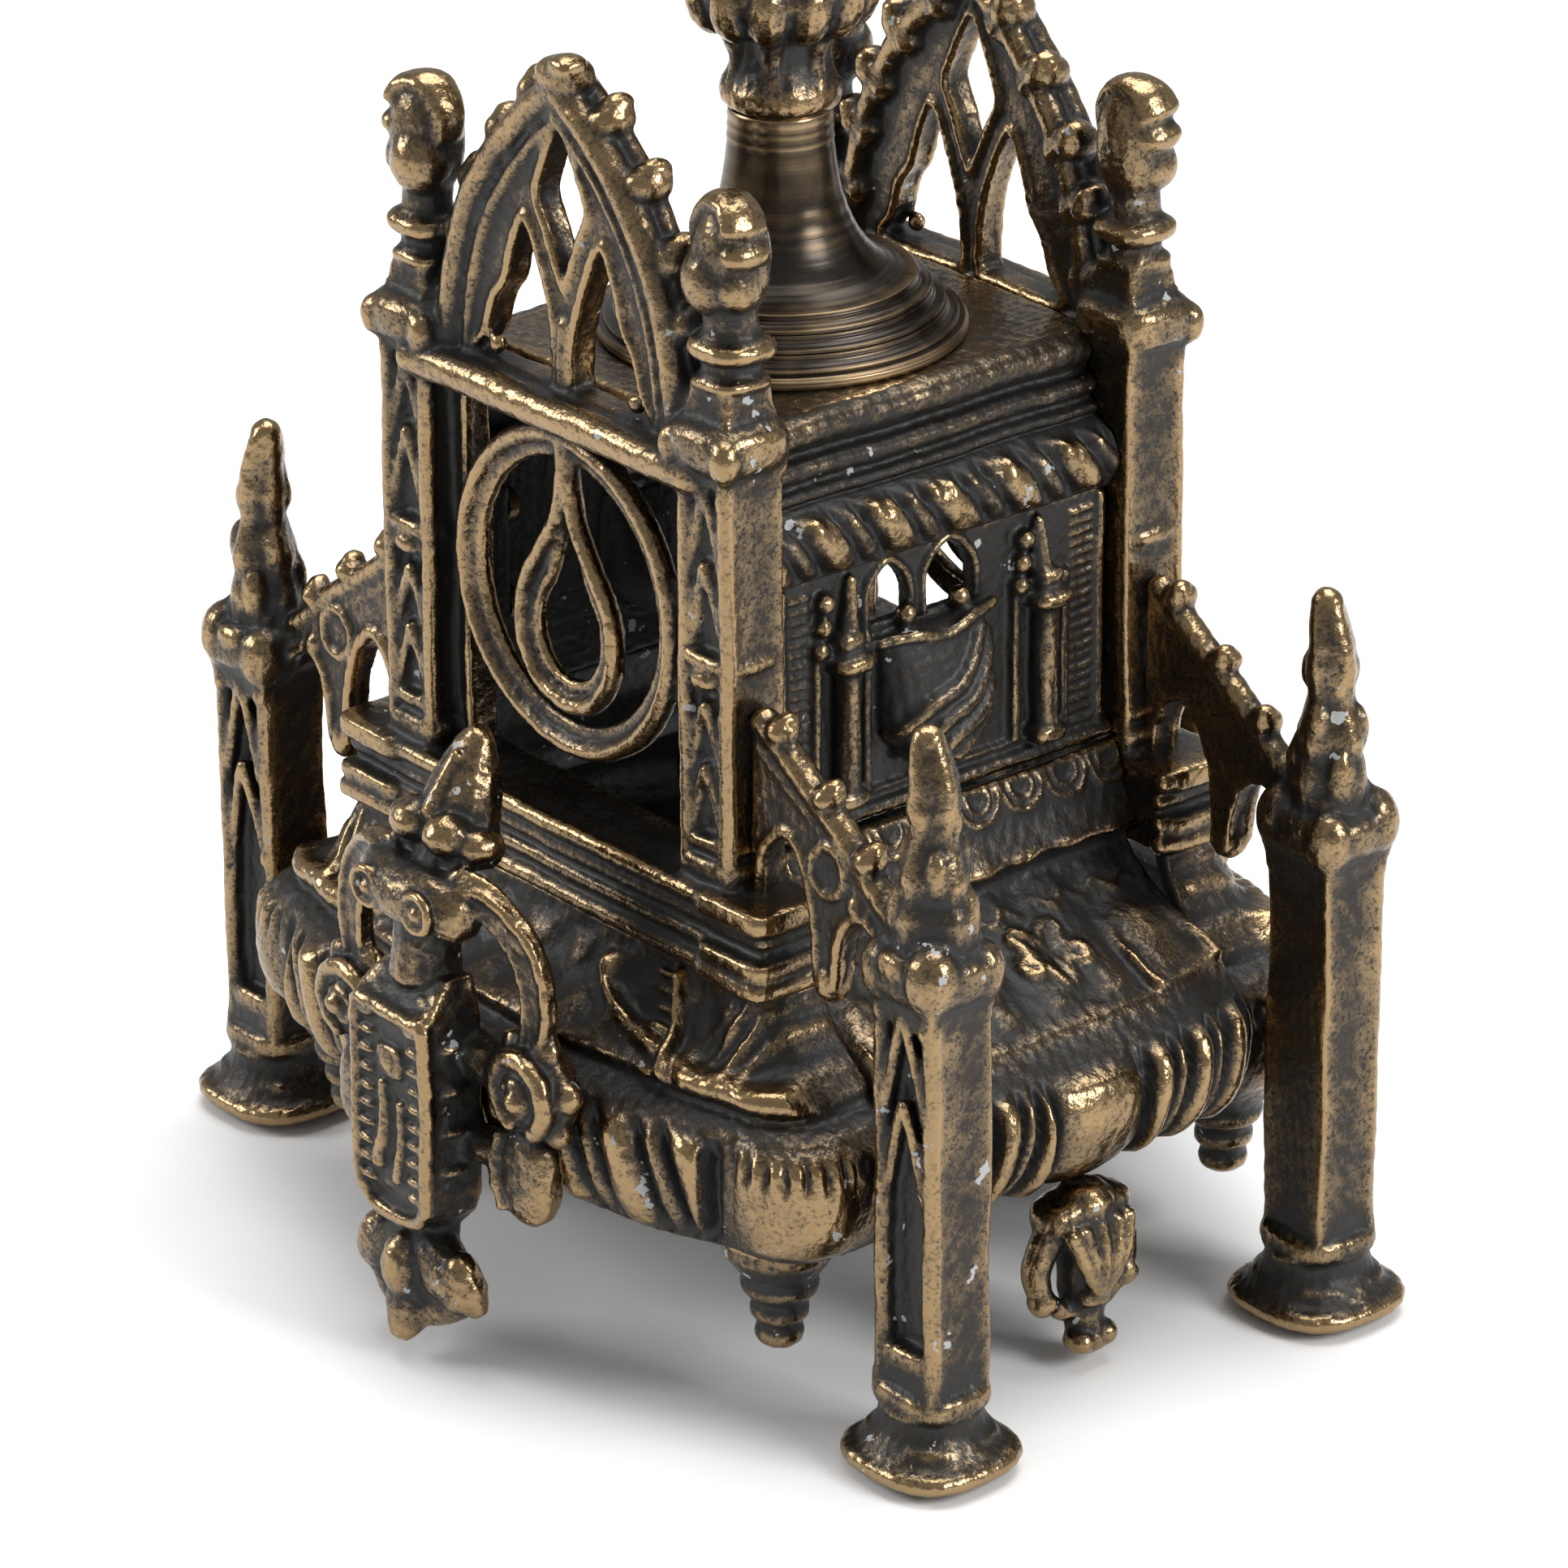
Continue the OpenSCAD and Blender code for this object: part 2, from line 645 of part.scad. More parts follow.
module cross_finial() {
    foot = glory_z + glory_r + 2.2;
    arm_z = cross_top_z - 19;
    color(brass) upright(-2, 4) {
        difference() {
            polygon([[-4.2, foot - 5], [4.2, foot - 5], [2.4, foot + 12], [2.4, arm_z],
                [-2.4, arm_z], [-2.4, foot + 12]]);
            translate([0, glory_z]) circle(glory_r + 2.1, $fn = 96);
        }
        translate([0, arm_z]) {
            translate([-2.4, -8]) square([4.8, 23]);
            translate([-15, -2.4]) square([30, 4.8]);
            circle(6);
            for (a = [0 : 90 : 180]) rotate(a) translate([15, 0]) circle(4);
        }
    }
}

module cross_gem() {
    color("#7a1f24") translate([0, -2, cross_top_z - 19]) rotate([90, 0, 0])
        cylinder(1.8, r1 = 3.4, r2 = 2.2);
}

// ---- lunette ----

module lunette_case() {
    color(gilt) {
        difference() {
            union() {
                about_y(-8, 16, case_r, glass_r + 0.2);
                about_y(-8, 1.4, case_r, case_r - 4.6);
                for (s = [-1, 1]) hinge_leaf(s);
            }
            translate([hinge_x, hinge_y, glory_z - 12]) cylinder(24, r = pin_r + 0.05);
        }
    }
}

// One outer knuckle of the hinge and the leaf that carries it.
module hinge_leaf(s) {
    translate([hinge_x, hinge_y, glory_z + s * 5.5 - 2.4]) cylinder(4.8, r = 2);
    translate([hinge_x - 0.2, 5.6, glory_z + s * 5.5 - 2.4]) cube([case_r * 0.13 + 0.6, 2.3, 4.8]);
    translate([hinge_x - 2, 5.6, glory_z + s * 5.5 - 2.4]) cube([2.6, 4, 4.8]);
}

module front_glass() { color("#cfe0e0", 0.4) about_y(-6.6, 1.6, glass_r); }
module front_retainer() { color(gilt) about_y(-5, 1.2, glass_r + 0.1, case_r - 4.6); }

// A channel on the floor of the case, stopped at the front and open to the door.
module luna_rail() {
    floor_z = luna_foot_z - 0.1;
    color(gilt) intersection() {
        union() {
            translate([-6, -3.8, floor_z - 6]) cube([12, 11.6, 6]);
            for (s = [-1, 1]) translate([s * 5.2 - 0.8, -3.8, floor_z - 1]) cube([1.6, 11.6, 4]);
            translate([-6, -3.8, floor_z - 1]) cube([12, 1, 4]);
        }
        about_y(-10, 20, glass_r + 0.15);
    }
}

module luna() {
    tip_r = 12;
    color(gilt) translate([0, 0.5, 0]) {
        translate([-4.2, -2.6, luna_foot_z]) cube([8.4, 5.2, 2.4]);
        translate([0, 0, luna_foot_z + 2]) cylinder(10, r = 1.3);
        upright(-1.4, 2.8) translate([0, glory_z]) difference() {
            circle(tip_r, $fn = 72);
            translate([0, 2.4]) circle(tip_r - 3, $fn = 72);
            translate([-tip_r - 1, 1]) square([2 * tip_r + 2, tip_r]);
        }
    }
}

module hinge_pin() {
    color("#a8a8a4") translate([hinge_x, hinge_y, glory_z - 8.6]) {
        cylinder(17.2, r = pin_r);
        translate([0, 0, -0.8]) cylinder(0.8, r = 1.6);
        translate([0, 0, 17.2]) cylinder(0.8, r = 1.6);
    }
}

module rear_door() {
    color(gilt) difference() {
        union() {
            about_y(door_y, 3, door_r, case_r - 3.5);
            about_y(door_y + 2.1, 0.9, door_r, case_r - 5.5);
            translate([hinge_x, hinge_y, glory_z - 2.8]) cylinder(5.6, r = 2);
            translate([hinge_x, hinge_y - 1.2, glory_z - 2.8]) cube([4.6, 2.4, 5.6]);
            translate([case_r - 1.6, door_y, glory_z - 3.4]) cube([8, 3, 6.8]);
        }
        translate([hinge_x, hinge_y, glory_z - 12]) cylinder(24, r = pin_r + 0.05);
        translate([latch_x + 1.2, door_y - 1, glory_z]) rotate([-90, 0, 0]) cylinder(6, r = 1.25);
    }
}

module rear_glass() { color("#cfe0e0", 0.4) about_y(door_y + 0.7, 1.35, case_r - 3.6); }
module rear_retainer() {
    color(gilt) about_y(door_y + 0.05, 0.6, case_r - 3.6, case_r - 5.3);
}

// A shouldered screw in the door's ear; the latch turns on it.
module latch_screw() {
    color("#a8a8a4") translate([latch_x + 1.2, door_y, glory_z]) rotate([-90, 0, 0]) {
        cylinder(5, r = 1.2);
        translate([0, 0, 5]) cylinder(1.1, r = 2.4);
    }
}

module door_latch() {
    color(gilt) translate([latch_x + 1.2, door_y + 3.2, glory_z]) rotate([-90, 0, 0])
        difference() {
            union() {
                cylinder(1.4, r = 3);
                translate([-1.7, -9, 0]) cube([3.4, 9, 1.4]);
                translate([0, -9, 0]) cylinder(1.4, r = 1.7);
            }
            translate([0, 0, -1]) cylinder(4, r = 1.25);
        }
}

// A hooked bracket behind the rays that the latch turns under.
module door_keeper() {
    reach = latch_x + 13.6;
    color(gilt) {
        translate([reach, 1.2, glory_z - 4]) cube([1.4, 13.6, 8]);
        translate([reach - 4.4, 13.4, glory_z - 4]) cube([5, 1.4, 8]);
        translate([reach - 4, 1.2, glory_z - 4]) cube([8, 1.2, 8]);
    }
}

module buttress_front_right() { buttress(1, -1); }
module buttress_front_left() { buttress(-1, -1); }
module buttress_rear_right() { buttress(1, 1); }
module buttress_rear_left() { buttress(-1, 1); }

front_tracery();
rear_tracery();
buttress_front_right();
buttress_front_left();
buttress_rear_right();
buttress_rear_left();
front_apron();
rear_apron();
right_skirt();
left_skirt();
right_panel();
left_panel();
right_cornice();
left_cornice();
top_plate();
screen_screws();
front_shield();
rear_shield();
right_pendant();
left_pendant();
corner_drops();
tie_rod();
tie_washer();
tie_nut();
stem_flange();
lower_knop();
stem_collar();
gothic_shaft();
main_knop();
knop_bosses();
upper_shaft();
head_socket();
head_pin();
glory();
tracery_ring();
ring_rivets();
cross_finial();
cross_gem();
lunette_case();
front_glass();
front_retainer();
luna_rail();
luna();
door_keeper();
hinge_pin();
rear_door();
rear_glass();
rear_retainer();
latch_screw();
door_latch();
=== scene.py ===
"""Looks of the cast brass table monstrance: castings melted from simple clay shapes, swept relief,
turned stem, sunburst head, studio and camera."""
import math

import bpy
import numpy as np
from mathutils import Matrix, Vector
from mathutils.geometry import tessellate_polygon


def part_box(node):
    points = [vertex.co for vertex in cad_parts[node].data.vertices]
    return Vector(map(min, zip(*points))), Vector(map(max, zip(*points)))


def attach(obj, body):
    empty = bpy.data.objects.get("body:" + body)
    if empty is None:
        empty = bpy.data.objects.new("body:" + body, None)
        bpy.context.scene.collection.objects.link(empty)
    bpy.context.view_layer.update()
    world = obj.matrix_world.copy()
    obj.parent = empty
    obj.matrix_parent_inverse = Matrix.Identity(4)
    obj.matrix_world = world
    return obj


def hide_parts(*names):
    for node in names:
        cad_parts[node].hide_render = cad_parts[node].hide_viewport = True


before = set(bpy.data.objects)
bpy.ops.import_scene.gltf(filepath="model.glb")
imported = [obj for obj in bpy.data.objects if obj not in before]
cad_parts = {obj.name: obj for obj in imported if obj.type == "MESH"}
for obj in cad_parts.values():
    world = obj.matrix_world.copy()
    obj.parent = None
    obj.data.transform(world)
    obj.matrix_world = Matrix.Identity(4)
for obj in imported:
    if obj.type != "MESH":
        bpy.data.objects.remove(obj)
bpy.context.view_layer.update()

MM = 0.001

# The design's driving sizes, in millimetres; they repeat the model's own.
FOOT_X = 64.0
SCREEN_Y = 31.2
PILLAR_X = 28.3
SPRING_Z = 117.0
ARCH_RISE = 40.0
ARCH_HALF = 23.5
RAIL_LOW, RAIL_TOP = 53.5, 64.5
LEDGE_Z = 66.5
WALL_X = 30.0
BOX_Y = 26.35
PLATE_Z = 117.6
RIM_X, RIM_Y, RIM_LOW = 59.0, 53.0, 20.5
FLANGE_R, NECK_R, FLANGE_H = 22.5, 6.3, 28.0
CUP_Z = PLATE_Z + FLANGE_H
COLLAR_Z = CUP_Z + 28.4
SHAFT_Z, SHAFT_TOP = CUP_Z + 34.4, CUP_Z + 74.4
KNOP_MIDDLE = SHAFT_TOP + 17
UPPER_Z = CUP_Z + 108.4
SOCKET_Z = CUP_Z + 126.4
CROSS_ARM_Z = 447.0
GLORY_Z = 1000 * (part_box("lunette_case")[0][2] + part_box("lunette_case")[1][2]) / 2
CASE_R = 29.0
GLORY_R = 38.0

CORNERS = ((-1, -1), (1, -1), (1, 1), (-1, 1))


# ---------------------------------------------------------------- curves and clay


def unit(v):
    """Vectors along the last axis at length one."""
    v = np.asarray(v, float)
    return v / np.maximum(np.linalg.norm(v, axis=-1, keepdims=True), 1e-9)


def curve(points, count=24):
    """A smooth line through the points, as count points."""
    p = np.asarray(points, float)
    p = np.vstack([2 * p[0] - p[1], p, 2 * p[-1] - p[-2]])
    t = np.linspace(0, len(p) - 3 - 1e-6, count)
    i = t.astype(int)
    f = (t - i)[:, None]
    a, b, c, d = p[i], p[i + 1], p[i + 2], p[i + 3]
    return 0.5 * (2 * b + (c - a) * f + (2 * a - 5 * b + 4 * c - d) * f**2 + (3 * b - a - 3 * c + d) * f**3)


def arc(cx, cz, r, a0, a1, y, count=24):
    """Points on a circle in an upright plane at depth y, from angle a0 to a1 in degrees."""
    a = np.radians(np.linspace(a0, a1, count))
    return np.stack([cx + r * np.cos(a), np.full(count, float(y)), cz + r * np.sin(a)], 1)


def smooth_noise(p, size, seed):
    """A soft random value from -1 to 1 at points p, with features of about the given size."""
    r = np.random.default_rng(seed)
    k = unit(r.normal(size=(9, 3))) * (2 * math.pi / (size * r.uniform(1.2, 3.0, (9, 1))))
    return np.sin(p @ k.T + r.uniform(0, 2 * math.pi, 9)).sum(1) / 4.5


class Clay:
    """Closed shapes in millimetres that are melted together into one casting."""

    def __init__(self):
        self.verts, self.faces, self.count = [], [], 0

    def add(self, verts, faces):
        verts = np.asarray(verts, float).reshape(-1, 3)
        self.faces += [tuple(i + self.count for i in f) for f in faces]
        self.verts.append(verts)
        self.count += len(verts)

    def rings(self, rings):
        """Skins equal rings of points and closes both ends."""
        n, m = len(rings), len(rings[0])
        faces = [
            (r * m + i, r * m + (i + 1) % m, (r + 1) * m + (i + 1) % m, (r + 1) * m + i)
            for r in range(n - 1)
            for i in range(m)
        ]
        faces += [tuple(range(m))[::-1], tuple((n - 1) * m + i for i in range(m))]
        self.add(np.concatenate(rings), faces)

    def tube(self, points, radius, sides=10, flat=1.0, up=(0, -1, 0)):
        """A round bar along the points; flat scales its depth along up."""
        p = np.asarray(points, float)
        r = np.broadcast_to(np.asarray(radius, float), (len(p),))
        t = unit(np.gradient(p, axis=0))
        side = np.cross(t, up)
        if np.min(np.linalg.norm(side, axis=1)) < 0.2:
            side = np.cross(t, (0.31, 0.2, 0.93))
        side = unit(side)
        front = np.cross(side, t)
        a = np.linspace(0, 2 * math.pi, sides, endpoint=False)
        out = [
            q + rr * (np.cos(a)[:, None] * s + flat * np.sin(a)[:, None] * f)
            for q, rr, s, f in zip(p, r, side, front)
        ]
        tip0, tip1 = p[0] - t[0] * r[0] * 0.45, p[-1] + t[-1] * r[-1] * 0.45
        out = [tip0 + (out[0] - p[0]) * 0.6] + out + [tip1 + (out[-1] - p[-1]) * 0.6]
        self.rings(out)

    def bend(self, points, count, radius, *shape):
        """A bar along the smooth line through the points; a pair of radii tapers it."""
        if isinstance(radius, tuple):
            radius = np.linspace(*radius, count)
        self.tube(curve(points, count), radius, *shape)

    def block(self, x, y, z, taper=1.0):
        """A box over the ranges x, y and z, its top scaled by taper."""
        cx, cy = sum(x) / 2, sum(y) / 2
        hx, hy = (x[1] - x[0]) / 2, (y[1] - y[0]) / 2
        self.rings(
            [
                np.array([(cx + sx * hx * k, cy + sy * hy * k, at) for sx, sy in CORNERS])
                for at, k in ((z[0], 1.0), (z[1], taper))
            ]
        )

    def cushion(self, centre, size, power=4.0, tilt=0.0):
        """A box with swollen faces and round corners; power 2 is an ellipsoid."""
        la = np.linspace(-math.pi / 2, math.pi / 2, 13)[1:-1]
        lo = np.linspace(0, 2 * math.pi, 24, endpoint=False)

        def bend(v):
            return np.sign(v) * np.abs(v) ** (2 / power)

        out = []
        for a in [-math.pi / 2 + 0.03, *la, math.pi / 2 - 0.03]:
            wide, high = bend(math.cos(a)), bend(math.sin(a))
            ring = np.stack([bend(np.cos(lo)) * wide, bend(np.sin(lo)) * wide, np.full(24, high)], 1)
            out.append(ring * np.asarray(size, float) / 2)
        rot = np.array(Matrix.Rotation(math.radians(tilt), 3, "Y"))
        self.rings([ring @ rot.T + np.asarray(centre, float) for ring in out])

    def ball(self, centre, r, stretch=(1, 1, 1)):
        self.cushion(centre, 2 * r * np.asarray(stretch, float), 2.0)

    def lathe(self, profile, x=0.0, y=0.0, base=0.0, sides=28):
        """A turned shape about the upright line through x, y, from (radius, height above base) pairs."""
        a = np.linspace(0, 2 * math.pi, sides, endpoint=False)
        self.rings(
            [np.stack([x + r * np.cos(a), y + r * np.sin(a), np.full(sides, base + z)], 1) for r, z in profile]
        )

    def slab(self, outline, y0, y1):
        """An upright plate: an outline of (x, z) between two depths."""
        o = np.asarray(outline, float)
        n = len(o)
        v = [(x, y, z) for y in (y0, y1) for x, z in o]
        f = [tuple(range(n)), tuple(range(2 * n - 1, n - 1, -1))]
        f += [((i + 1) % n, i, n + i, n + (i + 1) % n) for i in range(n)]
        self.add(v, f)

    def pierced(self, outline, holes, y0, y1):
        """An upright plate with holes: loops of (x, z) between two depths."""
        loops = [list(outline)] + [list(h) for h in holes]
        flat = [q for loop in loops for q in loop]
        n = len(flat)
        v = [(x, y, z) for y in (y0, y1) for x, z in flat]
        tris = tessellate_polygon([[Vector((x, z, 0)) for x, z in loop] for loop in loops])
        f = [tuple(t) for t in tris] + [tuple(i + n for i in t[::-1]) for t in tris]
        start = 0
        for loop in loops:
            m = len(loop)
            f += [(start + i, start + (i + 1) % m, n + start + (i + 1) % m, n + start + i) for i in range(m)]
            start += m
        self.add(v, f)

    def merge(self, other, matrix=Matrix()):
        """Adds another lump of clay, moved by a matrix."""
        m = np.array(matrix)
        self.add(np.concatenate(other.verts) @ m[:3, :3].T + m[:3, 3], other.faces)

    def mesh(self, name):
        me = bpy.data.meshes.new(name)
        me.from_pydata((np.concatenate(self.verts) * MM).tolist(), [], self.faces)
        me.validate()
        me.update()
        return me


# ---------------------------------------------------------------- mesh work


def read(me):
    """A mesh's vertices in millimetres, its normals and its edges."""
    n = len(me.vertices)
    p = np.empty(n * 3, np.float32)
    me.vertices.foreach_get("co", p)
    nor = np.empty(n * 3, np.float32)
    me.vertices.foreach_get("normal", nor)
    e = np.empty(len(me.edges) * 2, np.int32)
    me.edges.foreach_get("vertices", e)
    return p.reshape(-1, 3).astype(float) / MM, nor.reshape(-1, 3).astype(float), e.reshape(-1, 2)


def write(me, p):
    me.vertices.foreach_set("co", (p * MM).astype(np.float32).ravel())
    me.update()


def relax(p, edges, steps, amount=0.6):
    """Moves every point towards its neighbours' middle, steps times."""
    a = np.concatenate([edges[:, 0], edges[:, 1]])
    b = np.concatenate([edges[:, 1], edges[:, 0]])
    weight = np.maximum(np.bincount(a, minlength=len(p)), 1)
    for _ in range(steps):
        mean = np.stack([np.bincount(a, p[b, k], minlength=len(p)) for k in range(3)], 1) / weight[:, None]
        p = p + amount * (mean - p)
    return p


def stands_out(p, nor, reach):
    """How far each point stands out of the mean surface within reach, along its normal."""
    cell = reach / 2
    low = p.min(0) - 3 * cell
    size = np.ceil((p.max(0) - low) / cell).astype(int) + 4
    at = (p - low) / cell
    i = np.floor(at).astype(int)
    flat = (i[:, 0] * size[1] + i[:, 1]) * size[2] + i[:, 2]
    total = size.prod()
    grids = [np.bincount(flat, w, minlength=total).reshape(size) for w in (np.ones(len(p)), *p.T)]
    for axis in range(3):
        grids = [
            g + 0.7 * (
                np.roll(g, 1, axis) + np.roll(g, -1, axis)
            ) + 0.25 * (np.roll(g, 2, axis) + np.roll(g, -2, axis))
            for g in grids
        ]
    f = at - 0.5
    j = np.floor(f).astype(int)
    f = f - j
    found = np.zeros((4, len(p)))
    for dx in (0, 1):
        for dy in (0, 1):
            for dz in (0, 1):
                w = np.abs(1 - dx - f[:, 0]) * np.abs(1 - dy - f[:, 1]) * np.abs(1 - dz - f[:, 2])
                k = ((j[:, 0] + dx) * size[1] + j[:, 1] + dy) * size[2] + j[:, 2] + dz
                for q in range(4):
                    found[q] += w * grids[q].ravel()[k]
    mean = (found[1:] / np.maximum(found[0], 1e-6)).T
    return ((p - mean) * nor).sum(1)


def spread(values):
    """Values scaled so that the lowest twentieth is 0 and the highest is 1."""
    low, high = np.percentile(values, (5, 95))
    return (values - low) / max(high - low, 1e-6)


def mark_wear(me, fine=0.34, mid=0.42, broad=0.24, inside=None, lift=None):
    """Stores how much each point is rubbed bright, 0 in hollows and 1 on edges, as the attribute wear.
    inside tells which points stay black, and lift is how far each stands out of its own moulding."""
    p, nor, edges = read(me)
    small = ((p - relax(p, edges, 6, 1.0)) * nor).sum(1)
    wear = (
        fine * spread(small) + mid * spread(stands_out(p, nor, 2.6)) + broad * spread(stands_out(p, nor, 7.0))
    )
    if lift is not None:
        crest = np.percentile(lift[lift > 0], 90)
        wear = 0.45 * wear + 0.55 * np.clip(0.22 + 0.72 * lift / crest, 0, 1)
    if inside is not None:
        wear = np.where(inside(p, nor), -0.4, wear)
    attribute = me.attributes.get("wear") or me.attributes.new("wear", "FLOAT", "POINT")
    attribute.data.foreach_set("value", np.clip(wear, -0.4, 1.1).astype(np.float32))


def smooth_shade(me):
    me.polygons.foreach_set("use_smooth", [True] * len(me.polygons))
    me.update()


def stand(name, data):
    """A new object of the scene."""
    ob = bpy.data.objects.new(name, data)
    bpy.context.scene.collection.objects.link(ob)
    return ob


def paint(me, material):
    """Gives a mesh one material."""
    me.materials.clear()
    me.materials.append(material)


def melt(clay, name, voxel=0.42, steps=2, wobble=0.22, pit=0.05, seed=1, inside=None):
    """Turns clay into the skin of one soft-edged casting."""
    ob = stand(name, clay.mesh(name))
    mod = ob.modifiers.new("voxels", "REMESH")
    mod.mode = "VOXEL"
    mod.voxel_size = voxel * MM * 1.0
    me = bpy.data.meshes.new_from_object(ob.evaluated_get(bpy.context.evaluated_depsgraph_get()))
    bpy.data.objects.remove(ob)
    p, nor, edges = read(me)
    p = relax(p, edges, steps, 0.5)
    shift = wobble * np.stack([smooth_noise(p, 9, seed + k) for k in range(3)], 1)
    low_keep = np.clip(p[:, 2:] / 4, 0, 1)
    p = p + shift * low_keep + nor * pit * smooth_noise(p, 0.9, seed + 5)[:, None]
    write(me, p)
    mark_wear(me, inside=inside)
    smooth_shade(me)
    me.name = name
    return me


def place(name, me, body, nodes, slot, material, matrix=None):
    """Makes a piece of a mesh, moved by matrix, that rides on a body and stands for CAD nodes."""
    if matrix is not None:
        me = me.copy()
        me.transform(matrix)
        if matrix.determinant() < 0:
            me.flip_normals()
    paint(me, material)
    ob = stand(name, me)
    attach(ob, body)
    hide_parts(*nodes)


HALF_TURN = Matrix.Rotation(math.pi, 4, "Z")
MIRROR_X = Matrix.Scale(-1, 4, (1, 0, 0))


# ---------------------------------------------------------------- materials


class Nodes:
    """Short calls for building a material's node tree."""

    def __init__(self, name):
        self.material = bpy.data.materials.new(name)
        self.material.use_nodes = True
        self.tree = self.material.node_tree
        self.shader = self.tree.nodes["Principled BSDF"]
        self.place = self.tree.nodes.new("ShaderNodeTexCoord").outputs["Object"]

    def link(self, a, b):
        self.tree.links.new(a, b)

    def set(self, name, value):
        """Gives the shader's input of that name a number, a colour or another node's result."""
        socket = self.shader.inputs[name]
        if isinstance(value, tuple):
            socket.default_value = (*value, 1)
        elif isinstance(value, (int, float)):
            socket.default_value = value
        else:
            self.link(value, socket)

    def noise(self, size_mm, detail=3.0, rough=0.55, stretch=None):
        """A noise whose features are about size_mm across."""
        n = self.tree.nodes.new("ShaderNodeTexNoise")
        n.inputs["Scale"].default_value = 1 / (size_mm * MM)
        n.inputs["Detail"].default_value = detail
        n.inputs["Roughness"].default_value = rough
        if stretch:
            m = self.tree.nodes.new("ShaderNodeMapping")
            m.inputs["Scale"].default_value = stretch
            self.link(self.place, m.inputs["Vector"])
            self.link(m.outputs["Vector"], n.inputs["Vector"])
        else:
            self.link(self.place, n.inputs["Vector"])
        return n.outputs["Fac"]

    def calc(self, op, a, b=0.0, c=0.0):
        n = self.tree.nodes.new("ShaderNodeMath")
        n.operation = op
        for socket, value in zip(n.inputs, (a, b, c)):
            if isinstance(value, (int, float)):
                socket.default_value = value
            else:
                self.link(value, socket)
        return n.outputs[0]

    def span(self, value, low, high, to_low=0.0, to_high=1.0):
        """Value from low to high, turned smoothly into to_low to to_high."""
        n = self.tree.nodes.new("ShaderNodeMapRange")
        n.interpolation_type = "SMOOTHSTEP"
        self.link(value, n.inputs["Value"])
        for socket, number in zip(("From Min", "From Max", "To Min", "To Max"), (low, high, to_low, to_high)):
            n.inputs[socket].default_value = number
        return n.outputs["Result"]

    def ramp(self, value, stops):
        n = self.tree.nodes.new("ShaderNodeValToRGB")
        ramp = n.color_ramp
        while len(ramp.elements) < len(stops):
            ramp.elements.new(0.5)
        for e, (at, colour) in zip(ramp.elements, stops):
            e.position = at
            e.color = (*colour, 1)
        self.link(value, n.inputs["Fac"])
        return n.outputs["Color"]

    def mix(self, fac, a, b):
        n = self.tree.nodes.new("ShaderNodeMix")
        n.data_type = "RGBA"
        self.link(fac, n.inputs["Factor"])
        for socket, value in ((n.inputs["A"], a), (n.inputs["B"], b)):
            if isinstance(value, tuple):
                socket.default_value = (*value, 1)
            else:
                self.link(value, socket)
        return n.outputs["Result"]

    def attribute(self, name):
        n = self.tree.nodes.new("ShaderNodeAttribute")
        n.attribute_name = name
        return n.outputs["Fac"]

    def bump(self, height, distance_mm, strength=1.0):
        n = self.tree.nodes.new("ShaderNodeBump")
        n.inputs["Distance"].default_value = distance_mm * MM
        n.inputs["Strength"].default_value = strength
        self.link(height, n.inputs["Height"])
        self.link(n.outputs["Normal"], self.shader.inputs["Normal"])


SOOT = (0.0165, 0.0160, 0.0152)
UMBER = (0.037, 0.033, 0.029)
BRONZE = (0.128, 0.097, 0.064)
BRASS = (0.315, 0.216, 0.112)
WAX = (0.36, 0.37, 0.37)


def cast_brass(name, rubbed=0.5, bright=BRASS, flecks=True):
    """Cast brass under a near-black patina that is rubbed off the high places; rubbed shifts how much.
    Dark pits speckle it, and a few flecks of old wax stick to it."""
    m = Nodes(name)
    blotch = m.noise(3.4, 4.0, 0.6)
    level = m.calc("MULTIPLY", m.attribute("wear"), 1.05)
    for noise, share in ((m.noise(0.5, 4.0, 0.7), 0.42), (blotch, 0.50), (m.noise(14.0, 2.0), 0.36)):
        level = m.calc("MULTIPLY_ADD", noise, share, level)
    level = m.calc("ADD", level, rubbed - 0.5 - 0.665)
    specks = m.span(m.noise(0.6, 4.0, 0.7), 0.38, 0.50, -0.24, 0.02)
    level = m.calc("ADD", level, specks)
    colour = m.ramp(level, [(0.20, SOOT), (0.33, UMBER), (0.52, BRONZE), (0.84, bright)])
    metal = m.span(level, 0.16, 0.40, 0.25, 1.0)
    rough = m.calc("MULTIPLY_ADD", m.noise(0.6, 3.0), 0.16, m.span(level, 0.22, 0.70, 0.38, 0.15))
    if flecks:
        wax = m.calc(
            "MULTIPLY", m.span(m.noise(3.4, 3.0, 0.6), 0.670, 0.685), m.span(m.noise(38.0, 1.0), 0.54, 0.58)
        )
        colour = m.mix(wax, colour, WAX)
        metal = m.calc("MULTIPLY", metal, m.calc("SUBTRACT", 1.0, wax))
    m.set("Base Color", colour)
    m.set("Metallic", metal)
    m.set("Roughness", rough)
    m.set("Specular IOR Level", 0.42)
    dents = m.calc("MULTIPLY_ADD", m.noise(0.6, 3.0, 0.6), 0.30, m.calc("MULTIPLY", m.noise(2.2, 3.0), 2.4))
    m.bump(dents, 0.15, 0.8)
    return m.material


